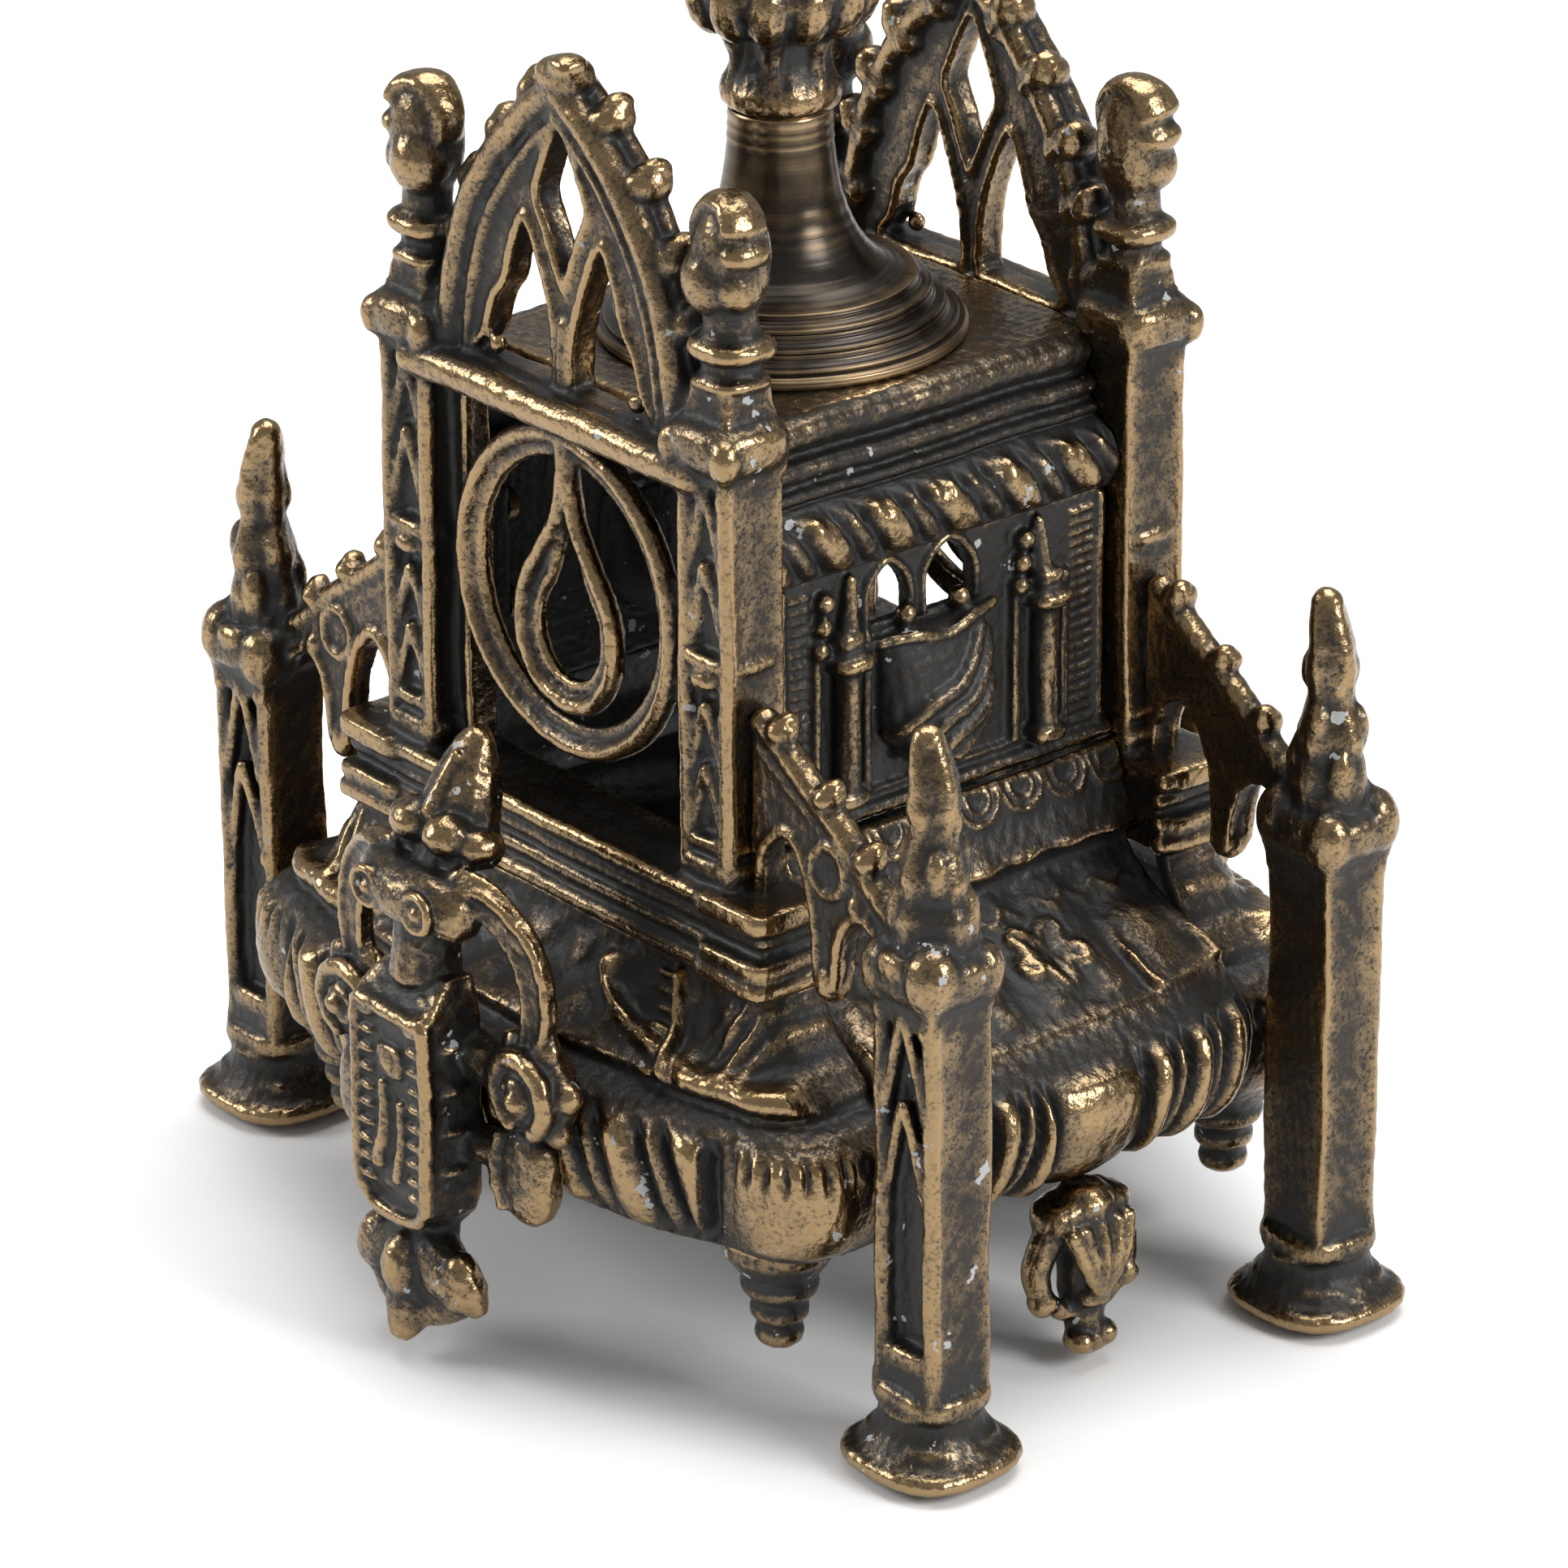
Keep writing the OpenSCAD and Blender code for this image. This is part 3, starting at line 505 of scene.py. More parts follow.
def turned_brass(name):
    """Brown lathe-turned brass: dull in the grooves, brighter on the rolls, with fine tool rings."""
    m = Nodes(name)
    rings = m.noise(1.0, 3.0, 0.7, stretch=(0.02, 0.02, 3.2))
    bands = m.noise(4.0, 1.0, 0.5, stretch=(0.05, 0.05, 1.6))
    blotch = m.noise(5.0, 4.0)
    level = m.calc("MULTIPLY", m.attribute("wear"), 0.75)
    for noise, share in ((rings, 0.28), (bands, 0.35), (blotch, 0.40)):
        level = m.calc("MULTIPLY_ADD", noise, share, level)
    level = m.calc("ADD", level, -0.42)
    colour = m.ramp(
        level, [(0.22, (0.034, 0.029, 0.024)), (0.42, (0.092, 0.066, 0.041)), (0.75, (0.33, 0.235, 0.135))]
    )
    m.set("Base Color", colour)
    m.set("Metallic", 0.92)
    m.set("Roughness", m.span(blotch, 0.3, 0.7, 0.24, 0.36))
    m.bump(rings, 0.022, 0.6)
    return m.material


def plain_metal(name, colour, rough=0.3):
    """Machined metal with a faint grain."""
    m = Nodes(name)
    grain = m.noise(0.8, 3.0)
    dark = tuple(c * 0.6 for c in colour)
    m.set("Base Color", m.mix(m.span(grain, 0.35, 0.65), dark, colour))
    m.set("Metallic", 1.0)
    m.set("Roughness", m.span(grain, 0.3, 0.7, rough, rough + 0.15))
    m.bump(grain, 0.03, 0.4)
    return m.material


def clear_glass(name, colour=(0.93, 0.97, 0.96), density=0.12):
    """Thin polished glass, seen through with a faint smear."""
    m = Nodes(name)
    m.set("Base Color", colour)
    m.set("Transmission Weight", 0.0)
    m.set("Specular IOR Level", 0.6)
    m.set("Alpha", density)
    m.set("Roughness", m.span(m.noise(9.0, 4.0), 0.4, 0.7, 0.03, 0.12))
    return m.material


def garnet(name):
    """A deep red polished stone."""
    m = Nodes(name)
    cloud = m.noise(2.4, 3.0)
    m.set("Base Color", m.mix(cloud, (0.22, 0.004, 0.010), (0.42, 0.012, 0.02)))
    m.set("Roughness", 0.08)
    m.set("Coat Weight", 1.0)
    return m.material


CAST = cast_brass("cast_brass", 0.50)
WORN_DARK = cast_brass("dark_cast_brass", 0.45)
# The top plate takes a lighter copy of the cast brass: partly its dust, partly a painted sheen on its upward
# face.
DUST_AND_SHEEN_PLATE = cast_brass("dust_and_sheen_plate", 0.58)
SHELTERED = cast_brass("sheltered_brass", 0.33)
GILT = cast_brass("gilt_brass", 0.66, (0.48, 0.33, 0.14), False)
TURNED = turned_brass("turned_brass")
STEEL = plain_metal("steel", (0.55, 0.54, 0.52))
PLAIN_BRASS = plain_metal("machined_brass", (0.23, 0.16, 0.085), 0.28)
PLAIN_GILT = plain_metal("machined_gilt", (0.50, 0.345, 0.150), 0.22)
GLASS = clear_glass("glass")
RED = garnet("red_glass")


# ---------------------------------------------------------------- screens


def bud_finial(c, x, y, z, lean=1):
    """An upright bud with a leaf folded over its top, on an inner pillar."""
    c.cushion((x, y, z + 7.0), (9.2, 8.8, 14.6), 2.3, 3 * lean)
    c.ball((x - 1.0 * lean, y - 1.5, z + 4.8), 4.1, (1.0, 1.0, 1.1))
    leaf = [
        (x - 4.2 * lean, y, z + 7.6), (x - 4.2 * lean, y, z + 11.0), (x - 1.6 * lean, y, z + 13.9),
        (x + 2.0 * lean, y - 0.4, z + 13.4), (x + 3.6 * lean, y - 0.8, z + 11.2)
    ]
    c.bend(leaf, 18, (1.1, 1.6), 12, 2.1)
    c.ball((x + 3.4 * lean, y - 0.6, z + 8.6), 2.2, (1.0, 1.6, 0.85))
    c.ball((x + 2.8 * lean, y - 1.0, z + 4.6), 2.3, (0.9, 1.3, 1.3))


def pillar_tracery(c, x, front, low, high, half):
    """Two steep chevrons, one below the other, over a sunk channel, with a bud at each side."""
    drop = 0.46 * (high - low)
    for top in (high, high - drop):
        for s in (-1, 1):
            c.bend(
                [
                    (x, front - 0.2, top), (x + s * 0.55 * half, front, top - 0.45 * drop),
                    (x + s * 1.15 * half, front + 0.1, top - 1.15 * drop)
                ],
                12, (0.95, 0.75), 8
            )
    for s, z in ((-1, high - 0.5), (1, high - 0.8), (-1, high - 2.1 * drop)):
        c.ball((x + s * 1.35 * half, front - 0.2, z), 1.05, (1, 1, 1.5))


def inner_pillar(c, side):
    """A pillar of the screen: rolls at its corners, tracery, capital and finial."""
    x, y = side * PILLAR_X, -SCREEN_Y
    front = y - 4.0
    c.block((x - 4.4, x + 4.4), (y - 3.0, y + 4.4), (RAIL_TOP - 1, SPRING_Z + 1))
    for s in (-1, 1):
        c.tube([(x + s * 3.7, front + 0.2, RAIL_TOP), (x + s * 3.7, front + 0.2, 116)], 1.2, 8)
    c.cushion((x, y - 0.2, 66.3), (11.0, 10.2, 3.0), 5)
    c.cushion((x, y - 0.2, 69.4), (10.0, 9.4, 2.0), 5)
    c.cushion((x, y - 0.5, 92.4), (10.2, 9.4, 2.6), 3.4)
    c.block((x - 3.6, x + 3.6), (y - 4.6, y - 2), (89.5, 92), 0.9)
    c.ball((x, front - 0.4, 90.2), 1.7, (1.2, 0.8, 0.8))
    pillar_tracery(c, x, front + 0.2, 94, 114.0, 2.6)
    pillar_tracery(c, x, front + 0.2, 70, 87.0, 2.6)
    # capital with a bulging belt, neck, upper ring and finial
    c.block((x - 4.6, x + 4.6), (y - 4.4, y + 4.4), (114.6, 118), 1.12)
    c.cushion((x, y - 0.3, 119.2), (12.8, 12.4, 7.0), 2.9)
    for s in (-1, 1):
        c.ball((x + s * 4.6, y - 4.8, 118.6), 2.0, (1, 0.9, 1.3))
    c.block((x - 4.0, x + 4.0), (y - 4.0, y + 3.8), (121.8, 127), 0.78)
    c.tube([(x, y, 124), (x, y, 137)], [3.5, 3.1], 12)
    c.cushion((x, y, 130.6), (9.6, 9.2, 3.4), 2.8)
    c.cushion((x + 0.3, y - 0.3, 126.6), (8.2, 8.0, 1.8), 3)
    bud_finial(c, x, y, 134.2, side)


def arch_line(inset, y, s, count=26):
    """Half of the pointed arch, from its foot on side s to its point, moved in by inset."""
    r = (ARCH_HALF**2 + ARCH_RISE**2) / (2 * ARCH_HALF)
    cx = ARCH_HALF - r
    top = math.degrees(math.acos(-cx / (r - inset)))
    p = arc(cx, SPRING_Z, r - inset, -2, top, y, count)
    p[:, 0] *= s
    return p


def spoke(degrees, base):
    """For a level direction: a function placing (radius, height above base, sideways), and the direction."""
    a = math.radians(degrees)
    out, side = np.array((math.cos(a), math.sin(a), 0)), np.array((-math.sin(a), math.cos(a), 0))

    def at(r, h, u=0.0):
        return out * r + side * u + np.array((0, 0, base + h))

    return at, tuple(out)


def leaf_knob(c, at, out, size):
    """A crocket: a broad bud with a folded lip, growing out of an edge."""
    at, out = np.asarray(at, float), unit(out)
    c.tube([at - out * size, at + out * size * 0.6], [size * 1.25, size * 0.95], 8)
    c.ball(at + out * size * 0.62 + np.array((0, -0.1, -0.25)) * size, size * 1.08, (1.1, 1.35, 1.0))
    c.ball(at + out * size * 0.95 + np.array((0, 0.2, 0.25)) * size, size * 0.8, (1, 1.3, 0.85))


def light(points, count=40):
    """A smooth closed opening through the points, as (x, z) pairs above the arch's spring."""
    p = [(x, 0, z + SPRING_Z) for x, z in points]
    line = curve(p + [p[0]], count)[:-1]
    return [(q[0], q[2]) for q in line]


LANCET = [
    (1.9, 0.9), (1.9, 5.0), (2.6, 9.6), (4.4, 14.6), (7.3, 19.4), (9.7, 15.2), (10.9, 11.2), (12.9, 8.6),
    (14.2, 4.6), (15.8, 0.9)
]
EYE = [(0, 13.8), (1.9, 17.6), (3.0, 20.2), (4.6, 23.4), (3.4, 27.0), (1.9, 30.2), (0, 33.0)]


def gable(c):
    """The pointed arch: a plate pierced by two lancets and an eye, with a roll, a groove and crockets."""
    y = -SCREEN_Y - 0.4
    right = [tuple(q[[0, 2]]) for q in arch_line(1.4, 0, 1, 24)]
    outline = right + [(-x, z) for x, z in right[::-1]]
    openings = [
        light(LANCET), [(-x, z) for x, z in light(LANCET)][::-1],
        light(EYE + [(-x, z) for x, z in EYE[-2:0:-1]])
    ]
    c.pierced(outline, openings, y - 1.5, y + 1.3)
    for hole in openings:
        ring = np.array([(x, 0, z) for x, z in hole + hole[:1]])
        middle = ring.mean(0)
        lip = middle + (ring - middle) * 1.09
        for dy in (-1.6, 1.3):
            c.tube(lip + np.array((0, y + dy, 0)), 0.72, 8)
    for s in (-1, 1):
        c.tube(arch_line(1.9, y - 1.5, s), 2.0, 12, 1.0)
        c.tube(arch_line(1.5, y + 1.6, s), 1.7, 12, 1.0)
        c.tube(arch_line(5.3, y - 1.4, s), 0.95, 8, 1.3)
        for k in range(5):
            line = arch_line(0.9, y + 1.0, s, 40)
            i = int((0.17 + 0.17 * k) * 39)
            out = np.array((line[i][0] + s * 18.0, 0, line[i][2] - SPRING_Z + 14.0))
            leaf_knob(c, line[i], out, 2.15)
        c.ball((s * 13.0, y - 1.2, SPRING_Z + 2.6), 1.3, (1, 0.8, 1))
    c.tube([(0, y - 1.3, SPRING_Z), (0, y - 1.3, SPRING_Z + 9)], 1.15, 8)
    c.tube([(0, y - 0.6, SPRING_Z + 34), (0, y - 0.6, SPRING_Z + 37.5)], 2.4, 8)
    c.cushion((0, y - 0.6, SPRING_Z + 39.2), (7.6, 6.0, 4.6), 2.6)
    c.cushion((1.6, y - 1.6, SPRING_Z + 41.2), (4.4, 4.4, 2.6), 2.4)


def ring_and_drop(c):
    """The double ring hung under the cross bar, with a double teardrop in it."""
    y, z = -SCREEN_Y - 1.7, SPRING_Z - 25.2
    c.tube(arc(0, z, 19.7, 0, 360, y - 0.2, 72), 1.35, 8, 1.2)
    c.tube(arc(0, z, 17.6, 0, 360, y + 0.5, 72), 1.1, 8)
    drop = [
        (0, z + 17.5), (1.5, z + 9.8), (4.6, z + 4.6), (8.2, z - 1.2), (8.4, z - 8), (4.8, z - 13),
        (0, z - 14.6)
    ]
    for size, r, dy in ((1.0, 1.2, -0.2), (0.74, 0.85, 0.5)):
        for s in (-1, 1):
            line = [(s * a * size, y + dy, z - 5 + (b - z + 5) * (size if b < z + 9 else 1)) for a, b in drop]
            c.bend(line, 40, r, 8, 1.2)
    c.tube([(0, y, z + 22), (0, y, z + 11)], [2.0, 1.3], 8)
    c.tube(arc(0, z + 0.6, 19.0, 62, 118, y + 0.3, 16), 1.6, 8)


def screen_mesh():
    """A whole screen: pillars, gable, cross bar, ring and moulded plinth rail."""
    c = Clay()
    for s in (-1, 1):
        inner_pillar(c, s)
        c.block((s * 21.9 - 1.5, s * 21.9 + 1.5), (-SCREEN_Y - 0.6, -SCREEN_Y + 2.8), (RAIL_TOP - 1, SPRING_Z))
        c.tube([(s * 20.9, -SCREEN_Y - 0.8, RAIL_TOP), (s * 20.9, -SCREEN_Y - 0.8, SPRING_Z - 3)], 0.8, 8)
    gable(c)
    ring_and_drop(c)
    y = -SCREEN_Y
    c.tube([(-26.8, y - 4.2, SPRING_Z - 1.8), (26.8, y - 4.2, SPRING_Z - 1.8)], 2.4, 12)
    c.block((-24, 24), (y - 1.4, y + 1.6), (SPRING_Z - 3.6, SPRING_Z - 0.3))
    # plinth rail: rolls and hollows that return round both ends
    front = y - 6.6
    for z, out, r in ((63.2, 0.4, 1.25), (60.4, -0.2, 0.9), (57.6, 0.0, 0.9), (54.8, 0.3, 1.3)):
        x = 39.4 + out
        f = front + 1.3 - out
        c.tube([(-x, f, z), (x, f, z)], r, 8)
        for s in (-1, 1):
            c.tube([(s * x, f, z), (s * x, y + 5, z)], r, 8)
    c.block((-38.6, 38.6), (front + 1.7, y + 4.6), (RAIL_LOW, RAIL_TOP - 0.6))
    for s in (-1, 1):
        c.cushion((s * 34.6, y - 1.6, 63.0), (13, 11.6, 3.2), 6)
        c.cushion((s * 34.8, y - 1.5, 57.2), (12.4, 11.6, 2.2), 6)
        c.cushion((s * 34.8, y - 1.5, 54.6), (12.8, 12.0, 2.4), 6)
    return melt(c, "screen", voxel=0.486, steps=1, wobble=0.20, pit=0.05, seed=11)


# ---------------------------------------------------------------- foot pillars and flyers


def foot_pillar(c):
    """A foot pillar: moulded foot, channelled shaft, lumpy cap and pinnacle."""
    x, y = FOOT_X, -SCREEN_Y
    c.cushion((x, y, 2.2), (20.2, 19.8, 4.0), 2.7)
    c.lathe([(9.0, 2.6), (8.6, 3.8), (7.4, 5.2), (6.6, 6.6), (6.2, 8.2), (6.6, 9.0)], x, y)
    c.cushion((x, y, 5.0), (15.0, 14.2, 2.4), 2.8)
    c.cushion((x, y, 10.2), (13.2, 12.2, 4.2), 3.2)
    c.block((x - 5.3, x + 5.3), (y - 2.6, y + 4.6), (9, 63))
    for s in (-1, 1):
        c.tube([(x + s * 4.3, y - 3.6, 12), (x + s * 4.3, y - 3.6, 61)], 1.35, 8)
    c.block((x - 5.3, x + 5.3), (y - 4.9, y + 4.4), (9.5, 14.5), 0.97)
    c.cushion((x, y - 3.8, 15.4), (8.8, 2.6, 3.0), 3)
    pillar_tracery(c, x, y - 4.1, 36, 60.0, 3.0)
    # lumpy cap
    c.block((x - 5.2, x + 5.2), (y - 4.7, y + 4.7), (58.5, 63.5), 1.16)
    c.cushion((x, y, 65.0), (14.2, 13.4, 7.6), 3.0)
    for s, t, h, r in ((-1, -1, 64.6, 3.2), (1, -1, 65.6, 3.4), (1, 1, 64.8, 3.2), (-1, 1, 65.6, 3.3)):
        c.ball((x + s * 3.9, y + t * 3.6, h), r, (1, 1, 1.3))
    c.cushion((x, y - 5.6, 66.6), (5.0, 3.0, 3.6), 2.6)
    c.cushion((x, y, 69.4), (10.2, 9.8, 3.0), 3.0)
    # squat pinnacle with a few lumps and a bent tip
    spire = [
        (69.0, 4.9), (72.0, 4.9), (74.4, 4.1), (76.6, 4.4), (79.4, 3.6), (81.6, 3.0), (83.2, 3.1), (85.0, 3.4),
        (88.0, 3.0), (90.8, 2.6), (92.6, 2.2), (94.0, 1.6)
    ]
    rings = []
    for z, w in spire:
        lean = 0.2 * max(0, z - 88)
        rings.append(
            np.array(
                [
                    (
                        x - lean + w * math.cos(a) * (1 + 0.09 * math.cos(4 * a)),
                        y + w * math.sin(a) * (1 + 0.09 * math.cos(4 * a)), z
                    )
                    for a in np.linspace(0, 2 * math.pi, 20, endpoint=False) + math.radians(45)
                ]
            )
        )
    c.rings(rings)
    c.ball((x - 1.0, y, 93.2), 1.9, (1.1, 1, 0.9))
    for a, h, r in (
        (25, 72.0, 1.9), (125, 73.2, 1.8), (240, 72.0, 1.9), (325, 77.6, 1.5), (75, 78.6, 1.5),
        (195, 77.8, 1.6), (290, 84.6, 1.1), (20, 83.8, 1.1), (140, 84.8, 1.1)
    ):
        t = math.radians(a)
        w = np.interp(h, [q[0] for q in spire], [q[1] for q in spire])
        c.ball((x + w * 0.76 * math.cos(t), y + w * 0.76 * math.sin(t), h), r, (1, 1, 2.2))


def flyer(c):
    """The raking flyer from the foot pillar to the screen, cusped below and crocketed above."""
    y = -SCREEN_Y
    top = curve([(33.4, y, 87.6), (39, y, 84.0), (46, y, 79.2), (53, y, 73.6), (58.8, y, 69.4)], 20)
    c.tube(top + np.array((0, 0, -1.2)), 1.6, 10, 1.25)
    c.tube(top + np.array((0, 0, -4.2)), 1.25, 8, 1.4)
    for f in (0.16, 0.5, 0.78):
        leaf_knob(c, top[int(f * 19)], (0.55, 0, 0.83), 1.6)
    plate = [
        (33.0, 87), (58.8, 68), (58.8, 62), (57.2, 65), (54.6, 66.6), (52.4, 66.2), (50.0, 64.2), (48.6, 60),
        (48.3, 56.4), (46.9, 54.8), (45.2, 56.2), (45.2, 60), (44.4, 66), (42.4, 70.6), (39.4, 73.2),
        (36.6, 72), (35.2, 68.6), (34.6, 62), (33.0, 60)
    ]
    c.slab(plate, y - 1.5, y + 1.7)
    c.bend(
        [
            (34.6, y - 1.2, 60), (35.4, y - 1.2, 70), (39.2, y - 1.2, 74), (42.6, y - 1.2, 71.4),
            (44.8, y - 1.2, 65), (45.6, y - 1.2, 57)
        ],
        26, 0.9, 8, 1.3
    )
    c.bend(
        [
            (48.2, y - 1.2, 57), (49.4, y - 1.2, 64), (52.8, y - 1.2, 67.4), (56.4, y - 1.2, 66),
            (58.6, y - 1.2, 62)
        ],
        20, 0.9, 8, 1.3
    )
    c.tube(arc(47.2, 71.4, 3.0, 0, 360, y - 1.5, 20), 0.75, 8)
    c.ball((46.9, y - 0.4, 57.0), 2.1, (1, 1.1, 1.3))
    c.ball((52.2, y - 0.4, 68.4), 1.8, (1, 1.2, 1))


def buttress_mesh():
    c = Clay()
    foot_pillar(c)
    flyer(c)
    return melt(c, "buttress", voxel=0.40, steps=2, wobble=0.24, pit=0.06, seed=23)


# ---------------------------------------------------------------- swept shells: aprons, skirts, cornices

APRON_OUT = [0, 0.05, 0.25, 0.54, 0.63, 0.80, 0.96, 1, 0.97, 0.84, 0.80, 0.56]
APRON_Z = [RAIL_LOW, 51, 46.6, 43.4, 41.2, 40.2, 37.2, 33.2, 28.6, 25.0, 24.0, RIM_LOW + 2]
SKIRT_OUT = [0, 0.08, 0.14, 0.1, 0.32, 0.66, 0.78, 0.86, 0.98, 1, 0.94, 0.78, 0.56]
SKIRT_Z = [LEDGE_Z, 61, 57.5, 53.7, 49.3, 44.8, 42.6, 40.8, 37.0, 33.0, 28.4, 24.6, RIM_LOW + 2]
CORNER_FROM, CORNER_TO = 0.7, 0.92


def bump(x, a, b):
    """A round bump that is 1 midway between a and b, and 0 outside them."""
    t = (2 * x - a - b) / (b - a)
    return np.clip(1 - t * t, 0, 1) ** 0.5


def ridge(x, at, width):
    """A soft ridge of height 1 at x = at."""
    return np.exp(-(((x - at) / width) ** 2))


def gadroons(phase):
    """Wide and narrow lobes by turns, one pair for each unit of phase."""
    t = phase % 1.0
    return np.maximum(bump(t, 0.0, 0.60), 0.70 * bump(t, 0.63, 0.97))


def stations(outs, heights, rows):
    """The moulding's reach and height at finely spaced rows, with the share of its length passed."""
    line = curve([(o, 0, z) for o, z in zip(outs, heights)], rows)
    return line[:, 0], line[:, 2], np.linspace(0, 1, rows)


def apron_point(u, s, z):
    half = 40 + 14.5 * s
    depth = 36.5 + (RIM_Y - 44.5) * s
    r = 3.4 + 6.6 * s
    w = np.abs(u)
    f = np.minimum(w / CORNER_FROM, 1)
    turn = np.radians(90 * np.clip((w - CORNER_FROM) / (CORNER_TO - CORNER_FROM), 0, 1))
    g = np.maximum(0, (w - CORNER_TO) / (1 - CORNER_TO))
    x = f * (half - r) + r * np.sin(turn)
    y = depth + 8 * s * (1 - f**2.5) - r * (1 - np.cos(turn))
    end = 27.4 - 0.8 * s
    return np.stack([np.sign(u) * x, -(y + g * (end - y)), z], -1)


def skirt_point(u, s, z):
    reach = WALL_X + 1.4 + (RIM_X - WALL_X - 5.4) * s + 4 * s * (1 - np.abs(u) ** 4)
    return np.stack([reach, u * (BOX_Y + 0.4 + 1.6 * s), z], -1)


def cornice_point(u, s, z):
    return np.stack([s, u * (BOX_Y + 0.6), z], -1)


def shell(name, point, outs, heights, relief, cols, rows, thick=2.3, seed=3):
    """A closed swept shell whose outer face carries the relief, a height in mm for each (u, v, s, z)."""
    s, z, v = stations(outs, heights, rows)
    u = np.linspace(-1, 1, cols)
    uu, ss = np.meshgrid(u, s)
    zz = np.repeat(z[:, None], cols, 1)
    vv = np.repeat(v[:, None], cols, 1)
    outer = point(uu, ss, zz)
    nor = unit(np.cross(np.gradient(outer, axis=0), np.gradient(outer, axis=1)))
    middle = rows // 2, cols // 2
    if nor[middle][:2] @ outer[middle][:2] < 0:
        nor = -nor
    edge = np.minimum(1, np.minimum(vv, 1 - vv) * 40) * np.minimum(1, (1 - np.abs(uu)) * 40)
    inner = outer - nor * thick
    inner[..., 2] = np.clip(inner[..., 2], z.min(), z.max())
    height = relief(uu, vv, ss, zz, outer) * edge
    outer = outer + nor * height[..., None]
    n = rows * cols
    k = np.arange(n).reshape(rows, cols)
    a, b, d, e = k[:-1, :-1].ravel(), k[:-1, 1:].ravel(), k[1:, 1:].ravel(), k[1:, :-1].ravel()
    faces = [np.stack([a, b, d, e], 1), np.stack([n + e, n + d, n + b, n + a], 1)]
    for line in (k[0, ::-1], k[-1], k[:, 0], k[::-1, -1]):
        faces.append(np.stack([line[:-1], line[1:], n + line[1:], n + line[:-1]], 1))
    me = bpy.data.meshes.new(name)
    points = np.concatenate([outer.reshape(-1, 3), inner.reshape(-1, 3)])
    me.from_pydata((points * MM).tolist(), [], np.concatenate(faces).tolist())
    me.validate()
    p, nor, edges = read(me)
    if (nor[:n] * (points[:n] - points[n:])).sum() < 0:
        me.flip_normals()
        p, nor, edges = read(me)
    p = relax(p, edges, 1, 0.5)
    p = (
        p + 0.22 * np.stack([smooth_noise(p, 9, seed + j) for j in range(3)], 1)
        + nor * 0.06 * smooth_noise(p, 0.9, seed + 5)[:, None]
    )
    write(me, p)
    mark_wear(me, inside=inward, lift=np.concatenate([height.ravel(), np.full(n, -3.0)]))
    smooth_shade(me)
    return me


def inward(p, nor):
    """Which points face the inside of the hollow base."""
    return (p[:, :2] * nor[:, :2]).sum(1) < -12 * np.abs(nor[:, 2]) - 2


def rim_zone(z, high=39.0):
    """1 on the rolled rim, fading to 0 above it."""
    return np.clip((high - z) / 2.2, 0, 1) * np.clip((z - RIM_LOW - 3.6) / 2.0, 0, 1)


def apron_relief(u, v, s, z, p):
    """Relief of the front and rear aprons: gadroons, corner lobe, cartouche and leaf."""
    x = p[..., 0]
    ax = np.abs(x)
    way = np.abs(u)
    # rim: oblique lobes, then one broad plain lobe round each corner with a toothed upper edge
    phase = way * 6.2 + 0.030 * (z - 30) * np.sign(u) + 0.30
    lobe = gadroons(phase) * np.clip((0.655 - way) * 40, 0, 1)
    corner = bump(way, 0.665, 0.995) ** 0.55
    teeth = -1.1 * np.clip(np.sin(way * 190), 0, 1) * ridge(z, 36.4, 1.5) * np.clip((way - 0.69) * 30, 0, 1)
    h = rim_zone(z) * (3.1 * lobe + 2.9 * corner + teeth - 1.8)
    h -= 0.35 * ridge(z, 40.6, 0.8)
    # a rounded lip on the step towards each corner
    lip = np.clip((way - 0.50) * 14, 0, 1) * np.clip((0.90 - way) * 14, 0, 1)
    h += 1.9 * np.exp(-(((z - 43.0) / 1.5) ** 2)) * lip
    slope = np.clip((z - 41.6) / 1.2, 0, 1) * np.clip((52.8 - z) / 1.2, 0, 1)
    # toothed triangular cartouche beside the shield, a boss above it and a curled leaf below
    edge_x = 31.0 - 0.55 * (z - 42)
    h += slope * 2.0 * ridge(ax, edge_x, 0.9)
    h += slope * 1.5 * np.clip(np.sin(z * 3.6), 0, 1) * np.exp(-(((ax - edge_x + 2.6) / 1.5) ** 2))
    sweep = 44.6 + 0.020 * (ax - 27) ** 2
    h += 1.7 * ridge(z, sweep, 0.8) * np.clip((ax - 13) / 2, 0, 1) * np.clip((edge_x - ax) / 2, 0, 1)
    h += slope * 1.6 * np.exp(-(((ax - 13.5) / 1.6) ** 2 + ((z - 49.4) / 1.3) ** 2))
    h += 0.5 * ridge(z, 42.4, 0.9) * (ax < 30)
    # veined leaf spreading down from the corner of the rail
    leaf = np.exp(-(((ax - 38.0) / 3.6) ** 2 + ((z - 48.0) / 3.4) ** 2))
    h += slope * leaf * (0.7 + 0.6 * np.sin((ax - 38.0) * 2.4 - (z - 47) * 0.6))
    h += slope * 0.30 * np.sin(ax * 0.9 + 1.0) * np.sin(z * 0.8)
    return h


